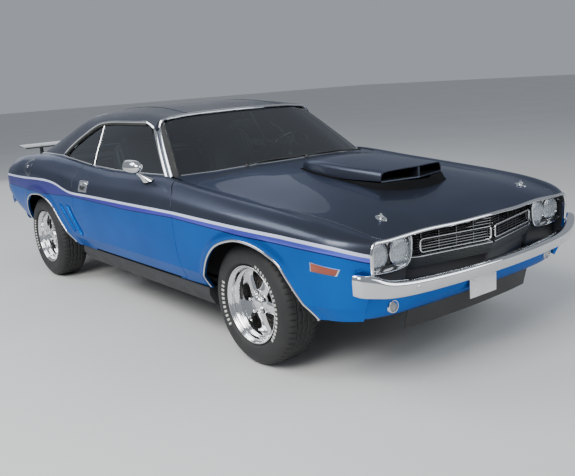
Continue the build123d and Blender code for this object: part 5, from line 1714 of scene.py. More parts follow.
def scoop_rows(n, s_end=1.0, inset=0.0):
    """Rows from the mouth back: near edge, over the top, far edge."""
    rows = []
    for s in np.linspace(0, s_end, n):
        xb = 1884 + s * (1010 - 1884)
        w, zt = float(scoop_w(xb)) - inset, float(scoop_z(xb)) - inset
        zl = float(np.interp(xb, [1010, 1200, 1350, 1600, 1884], [918, 908, 903, 899, 903])) + inset * 0.0
        fl = min(1.0, (zt - zl) / 40.0)
        sec = [(w - 3, zl), (w, zl + 3 * fl), (w - 0.5, zl + 12 * fl), (w - 3, zt - 26 * fl), (w - 7, zt - 16 * fl), (w - 14, zt - 7.5 * fl), (w - 24, zt - 2.0 * fl),
               (w * 0.80, zt + 0.5), (w * 0.6, zt + 2.5), (w * 0.4, zt + 4.5), (w * 0.2, zt + 5.5), (0, zt + 6.0)]
        full = [(-y, z) for y, z in sec] + [(y, z) for y, z in reversed(sec[:-1])]
        row = []
        for y, z in full:
            ay = abs(y)
            front = 1912 - 56.0 * (ay / 238.0) - 4.0 * math.exp(-(ay / 30.0) ** 2)
            tail = 1012 + 70.0 * (ay / max(w, 1.0)) ** 2
            row.append((front + (tail - front) * s, y, z))
        rows.append(row)
    return np.array(rows)


sr = scoop_rows(54)
scoop_m = Mesh()
lip_in = scoop_rows(54, 1.0, 7.0)
lip_mid = (sr[0] + lip_in[0]) / 2 + [3.0, 0, 0]
scoop_m.grid(np.concatenate([[lip_in[0] + [0.5, 0, 0]], [lip_mid], sr]), 0)
hole = scoop_rows(12, 0.30, 7.0)
scoop_m.grid(hole, 1)
scoop_m.grid(np.stack([hole[-1], hole[-1] * [1, 0.5, 1] + [0, 0, 0], hole[-1] * [1, 0.0, 1]]), 1)
# floor of the mouth, and its lower lip
fy = np.linspace(-232, 232, 41)
fx = 1912 - 56.0 * np.abs(fy) / 238.0
floor_rows = [np.stack([fx - 1, fy, np.full(41, 893.0)], 1), np.stack([fx + 3, fy, np.full(41, 896.0)], 1), np.stack([fx + 4, fy, np.full(41, 900.0)], 1),
              np.stack([fx + 1, fy, np.full(41, 904.5)], 1), np.stack([fx - 6, fy, np.full(41, 905.5)], 1), np.stack([fx - 280, fy, np.full(41, 903.0)], 1)]
scoop_m.grid(np.array(floor_rows[:5]), 0)
scoop_m.grid(np.array(floor_rows[4:]), 1)
under = [np.stack([fx - 1, fy, np.full(41, 893.0)], 1), np.stack([fx - 400, fy * 0.98, np.full(41, 893.0)], 1)]
scoop_m.grid(np.array(under), 1)
scoop_m.add(*(lambda xs, zs: ([(x, y, z) for x in xs for y in (-8, 8) for z in zs], [(0, 1, 3, 2), (4, 6, 7, 5), (0, 4, 5, 1), (2, 3, 7, 6), (1, 5, 7, 3), (0, 2, 6, 4)]))((1600, 1908), (900, 955)), 0)
scoop_m.obj("scoop_shell", [DARK, BLACK], "hood", sharp=40.0, slot="dark_paint", replaces=["hood_scoop"])
# black plinth under the scoop; its outline reaches past the scoop to take in the scoop's shadow on the hood, so that
# part is painted shadow
plinth_and_shadow = Mesh()
po = curve_through([(1964, 0), (1958, 70), (1938, 150), (1900, 218), (1835, 252), (1700, 256), (1500, 246), (1300, 224), (1150, 180)], 14.0)
po = np.vstack([po[::-1] * [1, -1], po[1:]])
lo_ = on_top(po[:, 0], po[:, 1], 0.8)
hi_ = lo_.copy()
hi_[:, 0] -= 14.0 * smoothstep(1700, 1940, hi_[:, 0])
hi_[:, 1] *= 0.965
hi_[:, 2] = np.maximum(lo_[:, 2] + 1.0, 896.0)
mid_ = lo_.copy()
mid_[:, 2] += 5
outer_ = lo_.copy()
outer_[:, 0] += 5 * smoothstep(1700, 1940, outer_[:, 0])
outer_[:, 1] *= 1.02
outer_[:, 2] = on_top(outer_[:, 0], outer_[:, 1], 0.6)[:, 2]
plinth_and_shadow.grid(np.stack([outer_, lo_ + [0, 0, 1.2], mid_ - [2, 0, 0], hi_, hi_ * [1, 0.5, 1]]), 0)
plinth_and_shadow.obj("scoop_plinth_and_shadow", MATTE_BLACK, "hood", slot="black_plastic")

pins = Mesh()
for s in (1, -1):
    base_p = on_top([2155.0], [s * 540.0])[0]
    aa = np.linspace(0, 2 * math.pi, 33)[:-1]
    ring = []
    for k, h in ((1.0, 0.2), (0.98, 1.8), (0.86, 2.6), (0.42, 2.8), (0.36, 1.2)):
        px_r, py_r = base_p[0] + 33 * k * np.cos(aa), base_p[1] + 21 * k * np.sin(aa)
        ring.append(on_top(px_r, py_r, h))
    pins.grid(np.array(ring), 0, close_v=True)
    for r0, r1, z0, z1 in ((9.5, 9.5, 1, 5), (7, 6.5, 5, 22)):
        pins.lathe([(r0, z0), (r1, z1), (0.4, z1 + 2)], base_p, "z", 20, 0)
    t = np.linspace(-1, 1, 13)
    pins.tube(np.stack([base_p[0] + 16 * t, base_p[1] + 0 * t, base_p[2] + 15 + 3 * np.cos(t * 2.6)], 1), 1.5, n=8)
    pins.tube(np.stack([base_p[0] + 16 * t, base_p[1] + 5 - 3 * t * t, base_p[2] + 11 + 0 * t], 1), 1.5, n=8)
pins.obj("hood_pins", CHROME, "hood", slot="chrome")

wip = Mesh()
for px0, py0, ang, ln in ((818, -330, 152, 430), (818, 150, 156, 430)):
    a = math.radians(ang)
    k = np.linspace(0, 1, 12)
    base_w = np.array([px0, py0])
    yy = py0 + ln * k * (1 if px0 else 1)
    xx = px0 - 26 * np.sin(k * math.pi) * 0.6 - 10 * k
    zz = top_z(xx, yy) + 10 + 8 * np.sin(k * math.pi)
    wip.tube(np.stack([xx, yy, zz], 1), np.interp(k, [0, 1], [4.5, 2.5]), m=0, n=8)
    yy2 = py0 + ln * (0.25 + 0.95 * k)
    xx2 = px0 - 34 + 0 * k
    zz2 = top_z(xx2, np.clip(yy2, -740, 740)) + 14
    wip.ribbon(np.stack([xx2, yy2, zz2], 1), (0.3, 0, 0.95), [(-3.5, -7), (-3.5, 1), (-1.5, 3), (1.5, 3), (3.5, 1), (3.5, -7)], m=1)
    wip.lathe([(13, 2), (12, 12), (8, 17), (0.4, 18)], (px0, py0, float(top_z(px0, py0)[0])), "z", 24, 0)
wip.obj("wipers", [BLACK_STEEL, GASKET], "body", slot="dull_steel")

vents = Mesh()
for y in np.arange(-640.0, 641.0, 20.0):
    if abs(abs(y) - 240) < 30:
        continue
    xs_v = np.array([868.0, 882.0, 906.0])
    g = np.stack([on_top(xs_v, np.full(3, y - 4.5), 0.6), on_top(xs_v, np.full(3, y + 4.5), 0.6)])
    vents.grid(g, 0)
vents.obj("cowl_slots", BLACK, "body", slot="black_plastic")


# =====================================================================
# Side details: arch lips, handles, markers, mirror, filler lid
# =====================================================================
def body_side(x, z, lift=0.0):
    """Points on the left side of the body, with the arch flares."""
    x, z = np.atleast_1d(np.asarray(x, float)), np.atleast_1d(np.asarray(z, float))
    y = side_y(x, z)
    q = np.stack([x, z], 1)
    near = z < 760
    d1 = np.where(near, line_dist(q, FRONT_ARCH_C), 999.0)
    d2 = np.where(near, line_dist(q, REAR_ARCH_C), 999.0)
    y = y + 9.0 * (1 - smoothstep(16, 62, d1)) + 6.4 * (1 - smoothstep(20, 85, d2))
    return np.stack([x, y + lift, z], 1)


lips = Mesh()
for arch, wd in ((FRONT_ARCH_C, 12.0), (REAR_ARCH_C, 12.0)):
    a = arch[arch[:, 1] > 352]
    t = np.gradient(a, axis=0)
    nrm2 = np.stack([t[:, 1], -t[:, 0]], 1)
    nrm2 /= np.linalg.norm(nrm2, axis=1, keepdims=True)
    c_ = a.mean(0) - [0, 60]
    nrm2 *= np.sign(((c_ - a) * nrm2).sum(1))[:, None]
    q = a - nrm2 * 3.5
    p = body_side(q[:, 0], q[:, 1], 0.5)
    lips.ribbon(p, (0, 1, 0.0), [(-6.5, -3), (-6.5, 1.2), (-4, 3.0), (0, 3.8), (4, 3.0), (6.0, 0.5), (6.5, -9.0), (3.0, -9.0)])
lips.mirror()
lips.obj("arch_mouldings", CHROME, "body", sharp=50.0, slot="chrome")

for s_, sg in (("left", 1), ("right", -1)):
    hm = Mesh()

    def plate_rows(x0, x1, z0, z1, r, lifts, m, hm=hm, sg=sg):
        base_pts = []
        for cx, cz, a0 in ((x1 - r, z1 - r, 0), (x0 + r, z1 - r, 90), (x0 + r, z0 + r, 180), (x1 - r, z0 + r, 270)):
            for k in range(6):
                a = math.radians(a0 + 18 * k)
                base_pts.append((cx + r * math.cos(a), cz + r * math.sin(a)))
        base_pts = np.array(base_pts)
        c = base_pts.mean(0)
        rows = []
        for k, lift in lifts:
            q = c + (base_pts - c) * k
            rows.append(body_side(q[:, 0], q[:, 1], lift) * [1, sg, 1])
        hm.grid(np.array(rows), m, close_v=True)
        return rows

    plate_rows(-356, -224, 784, 856, 10, [(1.0, 0), (0.995, 2.2), (0.94, 3.4), (0.90, 3.4)], 0)
    plate_rows(-352, -228, 788, 852, 8, [(0.985, 3.3), (0.6, 3.3), (0.02, 3.3)], 0)
    # the flat black patch under the paddle stands in for the dark of the finger recess: painted shade
    plate_rows(-330, -250, 793, 822, 6, [(1.0, 3.2), (0.96, 4.6), (0.9, 3.0), (0.5, 3.5), (0.02, 3.5)], 1)
    plate_rows(-340, -240, 824, 848, 8, [(1.0, 3.2), (0.98, 7.5), (0.88, 10.5), (0.5, 11.8), (0.02, 12.0)], 0)
    plate_rows(-312, -296, 829, 843, 7, [(1.0, 11.5), (0.95, 13.6), (0.6, 14.0), (0.02, 14.0)], 0)
    hm.obj("door_handle_" + s_, [CHROME, BLACK], "door_" + s_, slot="chrome")


def side_lamp(name, poly, lens, sg, frame_w=7.0):
    m = Mesh()
    pl = curve_through(poly, 9.0, closed=True, corners=tuple(range(len(poly))))
    c = pl.mean(0)
    rows = []
    for k, lift in ((1.0, 0.0), (0.99, 3.4), (0.95, 4.6), (0.885, 4.2), (0.875, 2.4)):
        q = c + (pl - c) * (np.array([1 - (1 - k) * 0.55, k]))
        rows.append(body_side(q[:, 0], q[:, 1], lift) * [1, sg, 1])
    m.grid(np.array(rows), 0, close_v=True)
    rows = []
    for k, lift in [(0.875, 2.2)] + [(k, 4.6 + 2.4 * (0.84 - k)) for k in np.linspace(0.84, 0.01, 12)]:
        q = c + (pl - c) * np.array([min(1 - (1 - k) * 0.55, k * 1.09), k])
        rows.append(body_side(q[:, 0], q[:, 1], lift) * [1, sg, 1])
    m.grid(np.array(rows), 1, close_v=True)
    m.obj(name, [CHROME, lens], "body", slot="chrome")


for s_, sg in (("left", 1), ("right", -1)):
    side_lamp("front_marker_" + s_, [(2053, 608), (2055, 652), (2197, 629), (2182, 597)], AMBER, sg)
    side_lamp("rear_marker_" + s_, [(-2176, 634), (-2186, 686), (-1976, 700), (-1966, 648)], RED_LENS, sg)

# round filler lid on the right quarter's shoulder
lid = Mesh()
aa = np.linspace(0, 2 * math.pi, 49)[:-1]
tq = np.linspace(3.0, 5.2, 200)


def shoulder(u, w):
    """Right shoulder surface: u along x from the lid's centre, w along the section."""
    c = section_curve(controls(BODY_F, 8, np.array([-1300.0 + u])), tq, (1, 3))[0]
    ln = np.concatenate([[0], np.cumsum(np.linalg.norm(np.diff(c, axis=0), axis=1))])
    s0 = np.interp(905.0, c[:, 1], ln)
    yy_, zz_ = np.interp(s0 + w, ln, c[:, 0]), np.interp(s0 + w, ln, c[:, 1])
    y2, z2 = np.interp(s0 + w + 2, ln, c[:, 0]), np.interp(s0 + w + 2, ln, c[:, 1])
    t2 = np.array([y2 - yy_, z2 - zz_])
    t2 /= np.linalg.norm(t2) + 1e-9
    return np.array([-1300.0 + u, yy_, zz_]), np.array([0, t2[1], -t2[0]])


def lid_ring(r, h):
    out = []
    for a in aa:
        p, n = shoulder(r * math.cos(a), r * math.sin(a))
        out.append((p + n * h) * [1, -1, 1])
    return out


lid.grid(np.array([lid_ring(r, h) for r, h in ((74, 0.2), (73.5, 1.2), (71, 1.6), (68, 1.4), (67, 0.6))]), 2, close_v=True)
lid.grid(np.array([lid_ring(r, h) for r, h in ((67, 0.6), (65.5, 0.4), (64.5, 1.0), (62, 2.0), (40, 2.8), (18, 3.0), (0.4, 3.0))]), 1, close_v=True)
lid.grid(np.array([lid_ring(r, h) for r, h in ((14, 2.8), (13.5, 6.0), (11, 7.2), (0.4, 7.6))]), 0, close_v=True)
lid.obj("filler_lid", [CHROME, DARK, BLACK_GLOSS], "body", slot="chrome")

# bullet mirror on the right door
mir = Mesh()
prof = [(0.4, 431), (20, 431.2), (33, 431.8), (37, 432.5), (38.2, 434.5), (39.6, 433.0), (41.2, 433.3), (41.9, 437), (41.9, 470), (41.5, 500), (40.2, 520), (37, 538), (32, 553), (25.5, 565), (17, 574), (8.5, 579), (0.4, 580.5)]
mir.lathe([(r, x) for r, x in prof[:4]], (0, -930, 995), "x", 56, 1)
mir.lathe([(r, x) for r, x in prof[3:]], (0, -930, 995), "x", 56, 0)
foot = []
for k in np.linspace(0, 1, 14):
    cx = 528 + (507 - 528) * k
    cy = -862 - 60 * k
    cz = 911 + 50 * k
    rx = 48 * (1 - k) ** 1.8 + 13
    ry = 22 * (1 - k) ** 1.8 + 8.5
    foot.append([(cx + rx * math.cos(a), cy + ry * math.sin(a) * 0.9, cz + ry * math.sin(a) * 0.5) for a in np.linspace(0, 2 * math.pi, 25)[:-1]])
mir.grid(np.array(foot), 0, close_v=True)
mir.obj("door_mirror_shell", [CHROME, MIRROR], "door_right", sharp=40.0, slot="chrome", replaces=["door_mirror_right"])

# =====================================================================
# Tail: lamps, panel, valance, wing, exhaust tips
# =====================================================================
tail = Mesh()
ty = np.linspace(-1, 1, 81)
rows = []
for z in (884, 862, 800, 745, 738, 637, 630, 560, 500, 440, 400):
    hw = float(np.interp(z, [380, 430, 600, 730, 810, 862, 890], [640, 690, 762, 775, 752, 712, 640]))
    dx = -10.0 if 636 < z < 740 else 0.0
    x0 = -2332.0 if z > 750 else (-2330 if z > 600 else -2326)
    rows.append(np.stack([np.full(81, x0 - (dx if False else 0)), ty * hw, np.full(81, float(z))], 1))
tail.grid(np.array(rows), 0)
tail.obj("tail_sheet", TAIL_BLACK, "body", slot="dark_paint", replaces=["tail_panel"])
rv = Mesh()
vy = np.linspace(-694, 694, 47)
vrow = lambda x, z: np.stack([np.full(47, x) + 14 * (np.abs(vy) / 640) ** 3, vy, np.full(47, z)], 1)
rv.grid(np.array([vrow(x, z) for x, z in ((-2336, 470), (-2345, 462), (-2345, 420), (-2343, 398), (-2330, 376), (-2306, 356), (-2284, 346), (-2246, 341), (-2246, 352))]), 0)
rv.obj("rear_valance", BLUE, "body", slot="blue_paint")
tl = Mesh()
for s in (1, -1):
    def lamp_rows(y0, y1, z0, z1, r, xs_k, m, tl=tl, s=s):
        pts = []
        for cy, cz, a0 in ((y1 - r, z1 - r, 0), (y0 + r, z1 - r, 90), (y0 + r, z0 + r, 180), (y1 - r, z0 + r, 270)):
            for k in range(6):
                a = math.radians(a0 + 18 * k)
                pts.append((cy + r * math.cos(a), cz + r * math.sin(a)))
        pts = np.array(pts)
        c = pts.mean(0)
        rows = []
        for k, x in xs_k:
            q = c + (pts - c) * np.array([1 - (1 - k) * (0.16 if k > 0.6 else 1.0), k])
            rows.append(np.stack([np.full(len(q), x), q[:, 0] * s, q[:, 1]], 1))
        tl.grid(np.array(rows), m, close_v=True)
    lamp_rows(100, 700, 632, 743, 16, [(1.0, -2326), (1.0, -2349), (0.985, -2352.5), (0.93, -2352.5), (0.90, -2346)], 0)
    lamp_rows(112, 688, 644, 731, 10, [(1.0, -2340), (0.97, -2348), (0.7, -2350.5), (0.62, -2351.5)], 1)
    lamp_rows(112, 688, 644, 731, 10, [(0.62, -2351.5), (0.30, -2352.5), (0.02, -2352.8)], 1)
    for y in (300, 495):
        tl.box((-2354, min(s * (y - 3), s * (y + 3)), 640), (-2346, max(s * (y - 3), s * (y + 3)), 735), 0, 1.0)
tl.obj("tail_lamp_units", [CHROME, RED_LENS], "body", slot="red_lens", replaces=["tail_lamps"])
ct = Mesh()
ct.box((-2350, -92, 640), (-2330, 92, 735), 0, 3.0)
ct.box((-2354, -82, 648), (-2348, 82, 727), 1, 2.0)
ct.obj("tail_centre_panel", [CHROME, BLACK], "body", slot="dark_paint")
rp = Mesh()
rp.box((-2352, -152, 350), (-2349, 152, 455), 0, 1.2)
for y in (-110, 110):
    rp.lathe([(6, -2351), (5.5, -2355), (0.4, -2356)], (0, y, 440), "x", 18, 1)
rp.obj("rear_plate", [PLATE, CHROME], "body")

wing = Mesh()
WB = [(-2206, 974), (-2209, 979), (-2216, 984.5), (-2250, 990.5), (-2300, 997), (-2350, 1001.5), (-2392, 1004), (-2399, 1003), (-2400, 1000), (-2394, 997.8), (-2350, 993), (-2300, 986.5), (-2250, 980.5), (-2216, 975)]
ws_ = np.concatenate([[-655, -652, -646], np.linspace(-636, 636, 41), [646, 652, 655]])
wk = np.array([0.55, 0.86, 0.96] + [1.0] * 41 + [0.96, 0.86, 0.55])
wc = np.array([-2300.0, 990.0])
wing.grid(np.array([[(wc[0] + (x - wc[0]) * (0.9 + 0.1 * k), y, wc[1] + (z - wc[1]) * k + 0.0 * abs(y)) for x, z in WB] for y, k in zip(ws_, wk)]), 0, close_v=True)
for y, k in ((ws_[0], wk[0]), (ws_[-1], wk[-1])):
    wing.add([(wc[0] + (x - wc[0]) * (0.9 + 0.1 * k), y, wc[1] + (z - wc[1]) * k) for x, z in WB], [tuple(range(len(WB)))], 0)
for s in (1, -1):
    rows = []
    for t in np.linspace(0, 1, 9):
        z = 894 + (992 - 894) * t
        xa, xb = -2222 - 18 * t, -2318 + 4 * t
        w = 16 - 2 * t
        yc = s * 485
        rows.append([(xa, yc, z), (xa - 6, yc + w * 0.35, z), (xa - 24, yc + w * 0.5, z), (xb + 24, yc + w * 0.5, z), (xb + 6, yc + w * 0.35, z), (xb, yc, z),
                     (xb + 6, yc - w * 0.35, z), (xb + 24, yc - w * 0.5, z), (xa - 24, yc - w * 0.5, z), (xa - 6, yc - w * 0.35, z)])
    wing.grid(np.array(rows), 1, close_v=True)
wing.obj("rear_wing_blade", [BLACK_GLOSS, BLACK], "trunk_lid", sharp=40.0, slot="dark_paint", replaces=["rear_wing"])
lock = Mesh()
zl = float(top_z(-2318.0, 0.0)[0])
lock.lathe([(15, -2334), (15, -2338), (12, -2340.5), (0.4, -2341)], (0, 0, 826), "x", 28, 0)
lock.obj("trunk_lock", CHROME, "body", slot="chrome")

tips = Mesh()
for s in (1, -1):
    p0, p1 = np.array([-2200.0, s * 420, 246]), np.array([-2342.0, s * 420, 262])
    ax = (p1 - p0) / np.linalg.norm(p1 - p0)
    u = np.array([0, 1.0, 0])
    w = np.cross(ax, u)
    L = np.linalg.norm(p1 - p0)
    rows = []
    for r, h in ((29, 0), (34, 8), (35, L - 10), (36.5, L - 3), (36.0, L), (33.5, L), (33, L - 4), (32, L - 90)):
        rows.append([p0 + ax * h + r * (math.cos(a) * u + math.sin(a) * w) for a in np.linspace(0, 2 * math.pi, 33)[:-1]])
    tips.grid(np.array(rows), 0, close_v=True)
    tips.add([tuple(q) for q in rows[-1]], [tuple(range(32))], 1)
tips.obj("exhaust_tips", [CHROME, BLACK], "body", slot="dull_steel")


# =====================================================================
# Cabin
# =====================================================================
def rounded_prism(mesh, prof, y0, y1, m=0, r=14.0, n_mid=10):
    """Side profile (x, z) swept across the car with softly rounded ends."""
    prof = np.array(prof, float)
    c = prof.mean(0)
    size = np.abs(prof - c).max()
    ys, ks = [], []
    for t in np.linspace(0, 1, 5):
        ys.append(y0 + r * (1 - math.cos(t * math.pi / 2)))
        ks.append(1 - (r / size) * (1 - math.sin(t * math.pi / 2)))
    mids = list(np.linspace(y0 + r, y1 - r, n_mid))[1:-1]
    ys += mids
    ks += [1.0] * len(mids)
    for t in np.linspace(1, 0, 5):
        ys.append(y1 - r * (1 - math.cos(t * math.pi / 2)))
        ks.append(1 - (r / size) * (1 - math.sin(t * math.pi / 2)))
    rows = [[(c[0] + (x - c[0]) * k, y, c[1] + (z - c[1]) * k) for x, z in prof] for y, k in zip(ys, ks)]
    mesh.grid(np.array(rows), m, close_v=True)
    for row in (rows[0], rows[-1]):
        row = np.array(row)
        cc = row.mean(0)
        mesh.grid(np.stack([row, cc + (row - cc) * 0.5, cc + (row - cc) * 0.01]), m, close_v=True)
    return mesh


dash = Mesh()
DP = curve_through([(770, 884), (700, 905), (620, 916), (540, 914), (480, 900), (462, 884), (458, 866), (470, 858), (476, 846), (470, 838)], 8.0)
yd = np.linspace(-726, 726, 61)
hood_up = 14.0 * np.exp(-((yd - 372) / 190.0) ** 4)
dash.grid(np.array([[(x - 22 * u_ / 14.0 * (1 if x < 560 else 0), y, z + u_ * smoothstep(770, 600, x)) for x, z in DP] for y, u_ in zip(yd, hood_up)]), 0)
lowp = curve_through([(470, 838), (476, 800), (500, 738), (528, 700), (600, 684), (700, 690)], 10.0)
dash.grid(np.array([[(x - 22 * u_ / 14.0 * smoothstep(760, 836, z), y, z) for x, z in lowp] for y, u_ in zip(yd, hood_up)]), 1)
for s in (-1, 1):
    row = np.vstack([DP, lowp])
    p3 = np.array([(x, s * 726, z) for x, z in row])
    cc = p3.mean(0)
    dash.grid(np.stack([p3, cc + (p3 - cc) * 0.5, cc + (p3 - cc) * 0.02]), 0, close_v=True)
# instrument panel with round dials, and a bright strip on the passenger side
dash.box((452, 168, 752), (462, 576, 846), 2, 4.0)
for y, r in ((232, 26), (318, 40), (426, 40), (512, 26)):
    dash.lathe([(r + 4, 452), (r + 3.5, 447), (r, 446), (r - 1, 450)], (0, y, 800), "x", 40, 3)
    dash.lathe([(r - 1, 451), (r * 0.5, 451.5), (0.4, 451.5)], (0, y, 800), "x", 40, 4)
    a = math.radians(60 + y)
    dash.box((449.6, y - 1.2, 800), (450.8, y + 1.2, 800 + r * 0.8), 5)
dash.box((462, -640, 790), (470, 130, 796), 3, 1.2)
dash.box((463, -640, 742), (470, 130, 746), 3, 1.0)
dash.box((459, -52, 700), (474, 92, 786), 2, 4.0)
for k in range(5):
    dash.box((456, -40, 712 + 14 * k), (460, 80, 716 + 14 * k), 3, 0.8)
dash.tube([(520, 372, 815), (430, 372, 856), (372, 372, 882)], [36, 32, 27], m=1, n=28)
dash.tube([(400, 372, 868), (404, 300, 880), (410, 236, 892)], [5, 4.5, 4], m=3, n=12)
dash.lathe([(0.4, 229), (7, 231), (8.5, 236), (7, 241), (0.4, 243)], (410, 0, 892), "y", 16, 1)
dash.obj("dashboard_shell", [TRIM_VINYL, TRIM_VINYL, BLACK, CHROME, DIAL, WHITE_MARK], "body", sharp=40.0, slot="black_plastic", replaces=["dashboard"])

sw = Mesh()
ax24 = np.array([math.cos(math.radians(24)), 0, -math.sin(math.radians(24))])
up24 = np.array([math.sin(math.radians(24)), 0, math.cos(math.radians(24))])
yv3 = np.array([0, 1.0, 0])
C0 = np.array([330.0, 372.0, 900.0])
th = np.linspace(0, 2 * math.pi, 73)[:-1]
rim_pts = np.array([C0 + 188 * (math.cos(t) * yv3 + math.sin(t) * up24) for t in th])
rows = []
for i, t in enumerate(th):
    e = math.cos(t) * yv3 + math.sin(t) * up24
    grip = 10.5 + 0.7 * math.cos(18 * t)
    rows.append([C0 + (188 + grip * math.cos(b)) * e + grip * math.sin(b) * ax24 for b in np.linspace(0, 2 * math.pi, 13)[:-1]])
sw.grid(np.array(rows), 0, close_u=True, close_v=True)
for a in (90, 210, 330):
    t = math.radians(a)
    e = math.cos(t) * yv3 + math.sin(t) * up24
    f = -math.sin(t) * yv3 + math.cos(t) * up24
    rows = []
    for r, w, dpt in ((34, 20, 16), (70, 17, 15), (120, 14, 10), (160, 13, 4), (181, 15, 1)):
        c = C0 + e * r + ax24 * dpt
        rows.append([c + f * w + ax24 * 2, c + f * (w - 3) - ax24 * 2.5, c - f * (w - 3) - ax24 * 2.5, c - f * w + ax24 * 2, c - f * (w - 3) + ax24 * 4, c + f * (w - 3) + ax24 * 4])
    sw.grid(np.array(rows), 1, close_v=True)
    for r in (75, 105, 135):
        c = C0 + e * r + ax24 * (np.interp(r, [70, 120, 160], [15, 10, 4]) - 3.4)
        q = [c + 5 * (math.cos(b) * e + math.sin(b) * f) for b in np.linspace(0, 2 * math.pi, 15)[:-1]]
        sw.add(q, [tuple(range(14))], 2)
hub_rows = []
for r, h in ((38, 38), (38, 12), (36, 4), (30, -3), (20, -8), (8, -10.5), (0.4, -11)):
    hub_rows.append([C0 + ax24 * h + r * (math.cos(b) * yv3 + math.sin(b) * up24) for b in np.linspace(0, 2 * math.pi, 33)[:-1]])
sw.grid(np.array(hub_rows), 0, close_v=True)
sw.obj("steering_wheel_rim", [BLACK_GLOSS, CAST, BLACK], "steering_wheel", sharp=40.0, slot="wheel_rim_plastic", replaces=["steering_wheel"])


def cushion(name, rows_fn, nu, nv, body, slot_nodes=(), fill="foam"):
    """Crowned cushion from a closed surface function of (u, v) in 0..1."""
    us, vs = np.linspace(0, 1, nu), np.linspace(0, 1, nv)
    g = np.array([[rows_fn(u, v) for v in vs] for u in us])
    m = Mesh()
    m.grid(g, 0, close_v=False)
    return m


def soft_box(m, lo, hi, n=(14, 20, 10), power=5.0, pleats=None, tilt=None, mat=0, crown=0.0):
    """Rounded padded block: a superellipsoid grid with pleats pressed in on top."""
    lo, hi = np.array(lo, float), np.array(hi, float)
    c, h = (lo + hi) / 2, (hi - lo) / 2
    nu, nv = 44, 72
    e = 2.0 / power
    u = np.linspace(-math.pi / 2, math.pi / 2, nu)
    v = np.linspace(-math.pi, math.pi, nv + 1)[:-1]
    sp = lambda a: np.sign(a) * np.abs(a) ** e
    X = sp(np.cos(u))[:, None] * sp(np.cos(v))[None]
    Y = sp(np.cos(u))[:, None] * sp(np.sin(v))[None]
    Z = sp(np.sin(u))[:, None] * np.ones(nv)[None]
    p = np.stack([X, Y, Z], 2)
    top = np.clip(Z, 0, 1)
    inner = (1 - X**2) * (1 - Y**2)
    Zo = Z * h[2] + crown * top * inner
    if pleats:
        k, depth, axis = pleats
        W = X if axis == 0 else Y
        groove = np.exp(-((np.abs(((W * k * 0.5 + 0.5) % 1.0) - 0.5)) / 0.07) ** 2)
        fade = smoothstep(0.95, 0.80, np.abs(Y)) * smoothstep(0.96, 0.82, np.abs(X))
        Zo = Zo - depth * groove * fade * (Z > 0.6)
        ring = np.exp(-((np.maximum(np.abs(X), np.abs(Y)) - 0.84) / 0.025) ** 2)
        Zo = Zo - depth * 1.2 * ring * (Z > 0.6)
    q = np.stack([X * h[0], Y * h[1], Zo], 2)
    if tilt is not None:
        a = math.radians(tilt)
        x2 = q[..., 0] * math.cos(a) - q[..., 2] * math.sin(a)
        z2 = q[..., 0] * math.sin(a) + q[..., 2] * math.cos(a)
        q = np.stack([x2, q[..., 1], z2], 2)
    q = q + c
    m.grid(q, mat, close_v=True)
    return q


seats_m = Mesh()
for sy in (372.0, -372.0):
    soft_box(seats_m, (-340, sy - 228, 400), (108, sy + 228, 516), pleats=(9, 6.0, 1), tilt=3.0, crown=14.0)
    # backrest: a padded slab leaning back, its face turned forward
    bl = Mesh()
    soft_box(bl, (-285, sy - 228, -58), (285, sy + 228, 58), pleats=(9, 6.0, 1), crown=16.0)
    a = math.radians(107.0)
    for k, (x, y, z) in enumerate(bl.v):
        bl.v[k] = (-425 + x * math.cos(a) + z * math.sin(a), y, 800 + x * math.sin(a) - z * math.cos(a))
    seats_m.add(bl.v, bl.f, 0)
    hr = Mesh()
    soft_box(hr, (-62, sy - 122, -48), (62, sy + 122, 48), crown=8.0, power=4.0)
    a = math.radians(102.0)
    for k, (x, y, z) in enumerate(hr.v):
        hr.v[k] = (-560 + x * math.cos(a) + z * math.sin(a), y, 1060 + x * math.sin(a) - z * math.cos(a))
    seats_m.add(hr.v, hr.f, 0)
seat_ob = seats_m.obj("front_seat_cushions", SEAT, "body", sharp=60.0, slot="seat_vinyl", replaces=["front_seats"])
base_m = Mesh()
for sy in (372.0, -372.0):
    for y in (sy - 160, sy + 160):
        base_m.box((-380, y - 14, 248), (60, y + 14, 268), 0, 3.0)
        for x in (-330, 20):
            base_m.box((x - 16, y - 10, 266), (x + 16, y + 10, 392), 0, 3.0)
    base_m.box((-340, sy - 190, 380), (70, sy + 190, 402), 0, 6.0)
base_m.obj("seat_frames", BLACK_STEEL, "body", slot="black_steel")
rs = Mesh()
soft_box(rs, (-1080, -560, 440), (-668, 560, 556), pleats=(18, 6.0, 1), tilt=4.0, crown=12.0)
bl = Mesh()
soft_box(bl, (-205, -560, -52), (205, 560, 52), pleats=(18, 6.0, 1), crown=12.0)
a = math.radians(110.0)
for k, (x, y, z) in enumerate(bl.v):
    bl.v[k] = (-1108 + x * math.cos(a) + z * math.sin(a), y, 706 + x * math.sin(a) - z * math.cos(a))
rs.add(bl.v, bl.f, 0)
rs_ob = rs.obj("rear_seat_cushions", SEAT, "body", sharp=60.0, slot="seat_vinyl", replaces=["rear_seat"])

mirror_in = Mesh()
q_ = soft_box(mirror_in, (292, -68, 1134), (314, 108, 1192), power=5.0)
mirror_in.box((290.6, -60, 1140), (293, 100, 1186), 1, 0.8)
mirror_in.tube([(306, 20, 1180), (309, 20, 1205), (302, 20, 1236)], [5, 5, 7], m=0, n=12)
mirror_in.obj("cabin_mirror", [BLACK, MIRROR], "body", slot="black_plastic")

